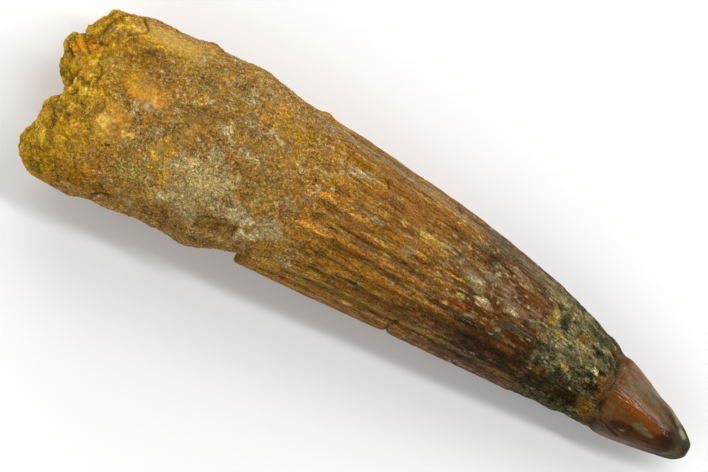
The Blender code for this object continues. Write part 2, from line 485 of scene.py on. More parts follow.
ROOT_DENTS = dents(
    (1.4, -5.8, 12.0, 2.4, 2.2, -1.1), (1.8, -11.4, 12.0, 1.6, 1.4, 0.3),
    (2.0, -14.2, 11.0, 1.8, 1.6, -0.9), (2.0, -0.6, 12.5, 1.4, 1.4, 0.4),
    (0.4, 5.4, 13.0, 1.2, 0.9, 0.45), (3.2, 9.8, 11.0, 1.4, 1.2, 0.3),
    (5.9, -7.6, 19.0, 0.9, 4.0, 0.35), (0.2, 1.9, 12.8, 1.4, 0.9, -0.7),
    (0.6, 3.4, 13.4, 1.6, 1.6, -0.2), (7.0, 12.0, 10.0, 2.6, 3.0, -0.80),
    (3.4, 2.4, 17.0, 1.2, 1.6, 0.25), (3.8, 5.2, 17.4, 1.2, 0.8, -0.7),
    (1.6, 4.9, 15.0, 1.4, 0.8, 0.35), (9.0, 9.6, 17.6, 1.6, 1.0, 0.45),
    (6.6, 1.5, 20.0, 1.1, 0.9, 0.35), (4.2, -3.8, 19.0, 1.2, 1.1, 0.35),
    (5.0, -9.6, 17.6, 1.7, 1.0, 0.35), (11.2, -3.6, 20.6, 1.5, 1.6, 0.25),
    (15.2, -3.8, 20.7, 1.0, 1.0, 0.25), (13.2, -14.4, 9.0, 2.2, 3.0, -0.45),
    (24.5, -12.8, 9.0, 2.0, 3.0, -0.45), (33.5, -11.5, 9.0, 2.6, 3.0, -0.40),
    (32.6, -8.0, 16.6, 1.6, 0.9, -0.4),
)
CROWN_DENTS = dents(
    (50.5, 12.0, 9.6, 7.0, 3.0, -0.25), (59.2, -9.5, 9.0, 0.9, 1.8, 0.35),
    (70.0, -8.6, 7.6, 12.0, 3.0, -0.18), (87.2, -7.4, 6.8, 1.4, 2.0, -0.45),
    (99.4, 0.2, 7.4, 1.6, 1.2, 0.45), (103.6, -1.8, 7.6, 2.0, 1.4, 0.4),
    (103.4, -4.6, 6.0, 1.4, 1.0, 0.15), (97.6, -3.9, 10.2, 2.0, 0.7, -0.16),
)
ROOT_CRACKS = (
    Crack(((8.8, 11.4), (10.0, 10.4), (9.9, 9.5), (8.8, 8.9), (8.0, 8.2)), 0.15, 0.35),
    Crack(((1.9, 5.9), (2.8, 5.3), (3.6, 4.4), (4.4, 3.8)), 0.17, 0.35),
    Crack(((0.8, 3.7), (1.8, 2.9), (2.8, 2.2)), 0.15, 0.30),
    Crack(((0.9, 4.7), (2.0, 4.2), (3.0, 3.6)), 0.10, 0.20),
    Crack(((3.0, 0.5), (3.9, -0.3), (4.4, -1.2)), 0.13, 0.28),
    Crack(((6.2, 3.2), (7.2, 2.8), (7.7, 2.0), (7.6, 1.0)), 0.14, 0.28),
    Crack(((3.2, -5.0), (4.4, -6.0), (5.6, -6.2)), 0.12, 0.20),
    Crack(((9.8, -9.8), (10.8, -10.9)), 0.12, 0.18),
    Crack(((14.2, -13.0), (15.0, -12.2), (16.4, -11.8)), 0.16, 0.30),
    Crack(((28.6, -8.6), (29.4, -7.9), (30.8, -7.5)), 0.16, 0.25),
    Crack(((34.0, -9.4), (34.3, -8.4), (33.9, -7.2)), 0.14, 0.20),
)
CROWN_CRACKS = (
    Crack(((59.1, -10.0), (59.2, -8.8), (60.0, -7.6)), 0.20, 0.35),
    Crack(((59.6, 10.8), (60.4, 10.2), (60.6, 9.4)), 0.12, 0.20),
    Crack(((48.8, 9.0), (49.5, 8.6), (50.0, 7.9)), 0.10, 0.20),
    Crack(((68.9, 6.9), (70.0, 6.6), (70.8, 6.1)), 0.12, 0.20),
    Crack(((38.0, -1.6), (38.6, -2.0), (39.2, -2.9)), 0.20, 0.25),
    Crack(((90.2, 3.4), (90.4, 2.0), (90.8, 0.6), (90.9, -1.2)), 0.20, 0.25),
    Crack(((90.9, -2.4), (90.5, -4.0), (91.0, -5.0), (90.9, -6.8)), 0.20, 0.30),
    Crack(((91.6, -5.6), (93.0, -5.8), (94.8, -6.2)), 0.12, 0.16),
)


# Pigments and stains


class Pigment(Enum):
    """The tooth's colours by name, as red, green and blue from 0 to 255."""

    MUSTARD = (166, 126, 20)
    DEEP_MUSTARD = (146, 100, 12)
    STRAW = (202, 166, 60)
    HAY = (164, 138, 72)
    LEMON = (204, 166, 38)
    GOLD = (196, 148, 42)
    BRIGHT_ORANGE = (190, 128, 28)
    AMBER = (176, 118, 22)
    DEEP_AMBER = (138, 70, 8)
    OCHRE = (164, 123, 32)
    APRICOT = (188, 135, 54)
    PEACH = (200, 162, 86)
    TERRACOTTA = (166, 108, 38)
    BRICK = (150, 102, 48)
    HONEY = (152, 108, 48)
    TAN = (164, 131, 72)
    MOSS = (160, 130, 48)
    OLIVE = (126, 98, 36)
    FAWN = (150, 114, 60)
    COCOA = (128, 94, 50)
    UMBER = (108, 77, 31)
    SAND = (176, 154, 112)
    PALE_SAND = (186, 170, 136)
    DUST = (160, 141, 106)
    DRAB = (138, 121, 86)
    CHALK = (200, 188, 162)
    CARAMEL = (198, 146, 68)
    TOFFEE = (134, 90, 38)
    BRONZE = (130, 90, 16)
    SYRUP = (112, 70, 8)
    RUST = (118, 62, 18)
    RUSSET = (106, 66, 28)
    CHESTNUT = (92, 54, 22)
    SEPIA = (80, 56, 24)
    MAHOGANY = (64, 34, 12)
    OXBLOOD = (53, 23, 7)
    PEAT = (42, 29, 14)
    CHARCOAL = (46, 43, 32)
    SLATE = (72, 70, 60)
    PEWTER = (94, 84, 70)
    LEAD = (112, 104, 88)
    SAGE = (136, 127, 100)
    MAUVE = (126, 98, 78)
    ROSY_GREY = (142, 116, 92)

    def linear(self) -> Array:
        """The pigment as the shader's linear red, green and blue."""
        c = np.array(self.value) / 255.0
        return np.where(c <= 0.04045, c / 12.92, ((c + 0.055) / 1.055) ** 2.4)


P = Pigment
SOFT_EDGE: Place = (0.45, 1.35)  # where a stain starts to fade, and where it ends


@dataclass(frozen=True)
class Stain:
    """A soft-edged patch of colour on the upper side, placed as seen from above."""

    place: Place
    size: Place
    pigment: Pigment
    strength: float = 0.8
    turn: float = 0.0

    def mask(self, points: Array, form: ToothForm) -> Array:
        """How much of the pigment each point gets, from 0 to its strength.

        Args:
            points: Points of the skin, already shaken so that the edges are ragged.
            form: The tooth's form, for the height of the stain's middle.

        Returns:
            One share for each point.
        """
        u, y = self.place
        z = form.top_height(u, y)
        away_u, away_y = points[:, 0] - u, points[:, 1] - y
        side = np.where(away_y < 0, -1.0, 1.0)
        away_y = side * np.hypot(away_y, 0.7 * (points[:, 2] - z))
        c, s = math.cos(math.radians(self.turn)), math.sin(math.radians(self.turn))
        along = (away_u * c + away_y * s) / self.size[0]
        across = (away_y * c - away_u * s) / self.size[1]
        return self.strength * (1 - ease(*SOFT_EDGE, np.hypot(along, across)))


def stains(*rows: tuple[Any, ...]) -> tuple[Stain, ...]:
    """Reads stains from short rows.

    Args:
        rows: For each stain, its place along U and Y, its size along and across, its
            pigment and, where they aren't the usual ones, its strength and its turn.

    Returns:
        The stains, in the order in which they are painted.
    """
    return tuple(Stain((u, y), (along, across), *rest) for u, y, along, across, *rest in rows)


@dataclass(frozen=True)
class Fleck:
    """A pigment strewn in flecks over one stretch of the tooth.

    The rarity is the height of noise above which a fleck shows: few do above 0.4. A
    stretch above 1 draws the flecks out along the tooth.
    """

    span: Place
    pigment: Pigment
    size: float
    rarity: float
    strength: float
    seed: float
    stretch: float = 1.0

    def mask(self, skin: Skin) -> Array:
        """How much of the pigment each point gets.

        Args:
            skin: The skin that the flecks are on.

        Returns:
            One value for each point.
        """
        place = skin.flow() if self.stretch > 1 else skin.skin
        scale = self.size * np.array([1.0, 1.0, self.stretch])
        value = ripple(place, scale, self.seed, 3)
        start, end = self.span
        inside = plateau((start - 1.5, start + 1.5), (end - 1.5, end + 1.5), skin.u)
        return self.strength * inside * ease(self.rarity, self.rarity + 0.12, value)


ROOT_GROUND: tuple[tuple[float, Pigment], ...] = (
    (0, P.MUSTARD), (6, P.OCHRE), (11, P.HONEY), (18, P.FAWN), (26, P.FAWN), (34, P.FAWN),
    (44, P.HONEY),
)
ROOT_STAINS = stains(
    # The broken end and the strip of yellow lumps beside it
    # the first, wide gold wash makes the side towards the hollow edge yellower and lighter:
    # partly its colour, partly a painted light
    (9.0, -8.5, 7.0, 5.0, P.GOLD, 0.3), (10.0, -12.2, 5.0, 1.8, P.DEEP_MUSTARD, 0.8),
    (5.4, -12.6, 3.4, 1.4, P.MUSTARD), (4.5, -7.0, 3.0, 1.4, P.MUSTARD),
    (4.7, 9.8, 1.9, 1.2, P.MUSTARD, 0.8), (5.9, 10.3, 1.3, 0.8, P.BRIGHT_ORANGE, 0.7),
    (8.2, 11.1, 1.2, 0.5, P.AMBER, 0.8), (7.4, 9.4, 1.2, 0.7, P.STRAW, 0.6),
    (7.4, 10.2, 0.9, 0.4, P.OLIVE, 0.6), (9.0, 9.5, 1.1, 0.6, P.PEACH, 0.95),
    (5.2, 8.2, 2.0, 0.7, P.ROSY_GREY, 0.7), (6.9, 7.7, 1.2, 0.6, P.BRICK, 0.8),
    (3.5, 7.7, 0.9, 0.7, P.TERRACOTTA, 0.7), (1.6, 4.7, 3.0, 1.7, P.AMBER, 1.0, -15),
    (2.4, 3.5, 2.4, 1.0, P.APRICOT, 0.9, -35), (1.6, 5.5, 2.0, 0.5, P.APRICOT, 0.8, -10),
    (3.7, 5.0, 2.0, 1.1, P.DEEP_AMBER, 1.0, -50),
    (3.3, 6.6, 1.1, 0.5, P.BRIGHT_ORANGE, 0.9, -35),
    (4.9, 4.4, 1.0, 0.7, P.BRIGHT_ORANGE, 0.95, -45), (5.6, 5.8, 1.0, 1.1, P.APRICOT, 0.9),
    (2.0, 1.0, 0.9, 1.4, P.OCHRE, 0.7, -50), (4.8, 1.4, 1.3, 0.8, P.APRICOT, 0.8),
    (6.6, 1.5, 1.1, 0.8, P.STRAW, 1.0), (6.4, -0.8, 1.6, 1.0, P.STRAW, 0.9),
    (4.2, -3.8, 1.2, 1.1, P.STRAW, 0.95), (8.6, 4.2, 1.6, 1.4, P.TAN, 0.6),
    (9.4, -0.6, 1.4, 0.7, P.GOLD, 0.8), (7.6, -3.4, 2.6, 1.0, P.OLIVE, 0.6),
    (6.0, -4.9, 1.2, 0.7, P.OLIVE, 0.7), (8.6, -5.8, 1.6, 0.9, P.APRICOT, 0.7),
    (5.0, -9.6, 1.7, 0.8, P.STRAW, 0.95), (7.6, -8.4, 1.2, 0.7, P.GOLD, 0.95),
    (11.0, -7.5, 1.2, 0.8, P.APRICOT, 0.7), (12.7, -9.2, 1.2, 0.7, P.TERRACOTTA, 0.9),
    (11.0, -10.6, 2.0, 0.6, P.AMBER, 0.7), (3.3, -8.3, 0.6, 0.5, P.RUSSET, 0.5),
    (2.8, -11.0, 0.9, 1.2, P.OLIVE, 0.6),
    # The smooth tan band under the convex edge, and the orange patches
    (13.4, 10.7, 5.0, 1.6, P.TAN, 0.95), (18.4, 11.7, 4.4, 0.8, P.TAN, 0.9),
    (11.2, 9.2, 2.4, 1.0, P.GOLD, 0.8), (14.0, 9.2, 1.6, 0.6, P.MOSS, 0.9),
    (16.2, 9.6, 1.4, 0.8, P.MOSS, 0.8), (19.4, 10.5, 1.6, 0.6, P.BRONZE, 0.6),
    (12.0, 12.3, 4.0, 0.3, P.UMBER, 0.7), (16.0, 12.3, 0.5, 0.22, P.TERRACOTTA, 0.9),
    (18.7, 11.5, 0.8, 0.25, P.DRAB, 0.8), (18.2, 8.6, 1.3, 0.6, P.MOSS, 0.95),
    (13.5, 7.6, 3.2, 0.8, P.UMBER, 0.7), (11.0, 6.2, 2.4, 1.2, P.BRONZE, 0.85),
    (13.0, 5.4, 3.0, 0.5, P.OLIVE, 0.6), (11.8, 3.4, 2.1, 1.5, P.OCHRE, 0.6),
    (13.2, 2.6, 2.2, 1.2, P.APRICOT, 0.6), (12.6, 1.7, 1.3, 0.7, P.AMBER, 0.8),
    (16.2, 3.2, 1.8, 1.4, P.APRICOT, 0.6), (14.8, 4.2, 0.9, 0.6, P.BRICK, 0.5),
    (10.6, 0.7, 0.9, 0.5, P.STRAW, 0.8), (13.8, 0.4, 0.4, 0.6, P.CHALK, 0.95),
    (14.2, -0.5, 0.3, 0.5, P.CHALK, 0.7), (12.8, -1.6, 2.4, 1.1, P.APRICOT, 0.9),
    (11.1, -3.6, 1.4, 1.6, P.PEACH, 1.0), (15.2, -3.7, 1.0, 1.0, P.PEACH, 0.95),
    (14.8, -1.4, 2.0, 0.7, P.HONEY, 0.8), (13.0, -6.3, 2.0, 1.1, P.OCHRE, 0.7),
    (15.8, -5.4, 0.9, 1.8, P.OLIVE, 0.7),
    # The brown, sparkling middle
    (17.0, 5.9, 1.6, 1.0, P.HONEY, 0.8), (15.4, -0.6, 2.0, 0.6, P.COCOA, 0.6),
    (18.6, 5.0, 0.5, 0.4, P.CHALK, 0.5), (20.0, 3.8, 3.0, 1.4, P.FAWN, 0.8),
    (20.6, 7.6, 1.6, 1.2, P.OLIVE, 0.5), (23.6, 4.4, 2.8, 1.4, P.COCOA, 0.9),
    (22.6, 2.8, 2.0, 0.6, P.UMBER, 0.6), (24.9, 2.1, 1.8, 0.45, P.TERRACOTTA, 0.8),
    (26.6, 5.8, 1.6, 0.9, P.COCOA, 0.7), (29.6, 0.7, 2.6, 0.9, P.BRICK, 0.75),
    (32.8, 0.0, 2.8, 1.0, P.COCOA, 0.75), (20.6, 0.6, 3.0, 1.0, P.FAWN, 0.7),
    (22.6, 6.2, 0.9, 0.7, P.DUST, 0.9), (20.8, 5.0, 0.9, 0.7, P.HAY, 0.9),
    (22.4, 8.9, 1.5, 0.8, P.COCOA, 0.6), (24.0, 11.2, 3.6, 1.1, P.COCOA, 0.6),
    (26.6, 8.9, 1.6, 0.9, P.DRAB, 1.0), (25.8, 8.9, 0.6, 0.5, P.SLATE, 0.4),
    # the chalk speck first in this row is a painted highlight
    (27.6, 8.7, 0.5, 0.4, P.CHALK, 0.7), (28.5, 6.5, 1.3, 0.9, P.DUST, 1.0),
    (30.7, 6.0, 1.4, 0.9, P.ROSY_GREY, 0.6), (26.2, 3.7, 1.3, 0.7, P.PALE_SAND, 1.0),
    (29.9, 2.3, 1.0, 0.9, P.DUST, 0.95), (32.2, 2.3, 0.9, 0.8, P.DUST, 0.6),
    (36.3, 3.1, 0.6, 0.9, P.ROSY_GREY, 0.6), (31.7, 10.2, 1.4, 1.2, P.APRICOT, 0.95),
    (29.6, 8.2, 1.7, 0.9, P.APRICOT, 0.9), (29.9, 9.8, 0.35, 0.3, P.CHALK, 0.95),
    (35.0, 8.6, 3.4, 1.6, P.OCHRE, 0.6), (34.4, 4.6, 2.6, 1.6, P.FAWN, 0.5),
    (33.4, 11.0, 0.9, 1.2, P.DRAB, 0.6), (36.0, 12.0, 2.0, 0.6, P.DRAB, 0.6),
    (39.0, 11.2, 3.0, 1.0, P.ROSY_GREY, 0.8), (38.6, 9.6, 3.2, 0.4, P.BRONZE, 0.9),
    (38.0, 6.8, 2.6, 1.4, P.OCHRE, 0.6), (35.6, 0.8, 2.0, 1.2, P.COCOA, 0.7),
    (35.6, -2.0, 2.0, 0.9, P.HAY, 0.5),
    # The beige patches and the yellow marks on them
    (17.4, -7.4, 2.6, 1.9, P.HAY, 0.95), (20.3, -4.4, 1.8, 1.8, P.HAY, 0.9),
    (23.4, -3.0, 2.2, 1.6, P.SAND, 1.0), (26.6, -4.0, 3.4, 2.8, P.SAND, 1.0),
    (25.4, -6.8, 3.0, 2.2, P.SAND, 0.95), (29.4, -2.8, 2.2, 1.4, P.SAND, 1.0),
    (27.0, -8.6, 2.8, 1.2, P.DUST, 0.95), (30.4, -5.8, 1.2, 1.8, P.DUST, 0.9),
    (27.0, 0.2, 1.0, 1.4, P.DUST, 0.9), (22.8, -8.7, 1.3, 0.8, P.PALE_SAND, 1.0),
    (24.4, -6.6, 0.8, 0.6, P.COCOA, 0.6), (23.9, -4.6, 0.8, 0.8, P.FAWN, 0.5),
    (25.5, -6.0, 0.5, 0.3, P.CHALK, 0.9), (29.4, -5.3, 0.9, 0.7, P.LEAD, 0.7),
    (31.7, -4.8, 0.5, 1.2, P.COCOA, 0.6, 70), (19.8, -1.6, 1.0, 0.9, P.GOLD, 0.95),
    (21.2, -2.7, 0.8, 1.1, P.APRICOT, 0.9), (19.0, -4.4, 0.7, 0.9, P.GOLD, 0.95),
    (20.4, -5.8, 1.6, 0.5, P.GOLD, 0.9), (21.9, -6.4, 0.5, 1.3, P.GOLD, 0.9),
    (21.5, -8.2, 0.7, 0.8, P.GOLD, 0.7), (20.7, -9.0, 0.8, 0.4, P.LEMON, 1.0),
    (20.0, -6.8, 0.5, 0.4, P.ROSY_GREY, 0.7),
    # The dark hollow before the enamel, the pale crust beside it and the lower edge
    (15.5, -11.6, 2.2, 0.9, P.BRONZE, 0.9), (19.0, -12.3, 0.8, 0.5, P.LEMON, 0.8),
    (24.0, -11.2, 4.4, 1.1, P.COCOA, 0.85), (24.0, -10.1, 2.0, 0.4, P.UMBER, 0.6),
    (30.4, -11.0, 3.8, 1.1, P.UMBER, 0.8), (32.4, -7.9, 1.7, 0.9, P.UMBER, 1.0),
    (31.2, -8.9, 1.4, 0.8, P.UMBER, 0.8), (29.7, -9.0, 1.0, 0.6, P.OLIVE, 0.95),
    (33.3, -5.8, 1.3, 1.1, P.PALE_SAND, 1.0), (35.0, -5.4, 1.3, 1.0, P.PALE_SAND, 0.9),
    (34.9, -7.6, 0.6, 0.7, P.CHALK, 0.9), (34.3, -8.8, 0.3, 0.6, P.PALE_SAND, 0.8),
    (36.8, -7.0, 1.5, 0.7, P.PALE_SAND, 0.9, 45), (38.2, -4.8, 1.8, 1.8, P.DUST, 0.9),
    (38.6, -0.4, 0.5, 0.5, P.CHALK, 0.7), (38.6, -2.1, 0.7, 0.6, P.BRICK, 0.9),
    (36.8, -4.3, 0.5, 0.9, P.BRICK, 0.6), (36.4, -9.4, 1.6, 0.9, P.UMBER, 0.7),
)

ROOT_FLECKS = (
    Fleck((0, 12), P.STRAW, 1.3, 0.22, 0.55, 201.0),
    Fleck((0, 12), P.PEACH, 1.2, 0.36, 0.60, 202.0),
    Fleck((0, 14), P.OLIVE, 1.1, 0.34, 0.55, 203.0),
    Fleck((0, 12), P.TERRACOTTA, 1.3, 0.42, 0.45, 204.0),
    Fleck((8, 44), P.OLIVE, 2.2, 0.26, 0.45, 205.0),
    Fleck((8, 44), P.ROSY_GREY, 1.8, 0.26, 0.50, 206.0),
    Fleck((8, 44), P.GOLD, 1.6, 0.38, 0.40, 207.0),
    Fleck((6, 44), P.RUST, 1.1, 0.42, 0.45, 208.0),
    Fleck((6, 44), P.UMBER, 1.1, 0.36, 0.55, 210.0),
    Fleck((14, 44), P.PALE_SAND, 1.2, 0.38, 0.50, 211.0),
)
CROWN_FLECKS = (
    Fleck((38, 66), P.AMBER, 0.8, 0.24, 0.40, 301.0, 16.0),
    Fleck((38, 70), P.OLIVE, 1.0, 0.26, 0.45, 302.0, 10.0),
    Fleck((40, 78), P.CHESTNUT, 0.8, 0.24, 0.50, 303.0, 18.0),
    Fleck((42, 78), P.MAHOGANY, 0.5, 0.32, 0.50, 317.0, 24.0),
    Fleck((42, 78), P.ROSY_GREY, 0.5, 0.38, 0.40, 316.0, 16.0),
    Fleck((40, 66), P.PEACH, 0.4, 0.42, 0.45, 305.0, 12.0),
    Fleck((44, 70), P.HAY, 0.9, 0.50, 0.60, 306.0),
    Fleck((60, 79), P.LEAD, 0.9, 0.34, 0.50, 307.0, 2.4),
    Fleck((62, 79), P.CHARCOAL, 1.0, 0.34, 0.65, 308.0, 2.2),
    Fleck((62, 79), P.CHALK, 0.5, 0.46, 0.65, 309.0, 1.6),
    Fleck((60, 79), P.RUST, 0.9, 0.42, 0.40, 310.0, 3.0),
    # painted glints: fine chalk flecks on the dark enamel
    Fleck((56, 79), P.CHALK, 0.35, 0.46, 0.35, 318.0, 2.0),
    Fleck((78.5, 90), P.PEAT, 1.1, 0.26, 0.60, 311.0),
    Fleck((78.5, 90), P.SAGE, 0.8, 0.22, 0.50, 312.0),
    Fleck((78.5, 90), P.CHALK, 0.5, 0.42, 0.50, 313.0),
    Fleck((78.5, 91), P.UMBER, 1.0, 0.34, 0.45, 314.0),
    Fleck((91, 102), P.OXBLOOD, 0.7, 0.34, 0.40, 315.0, 7.0),
)

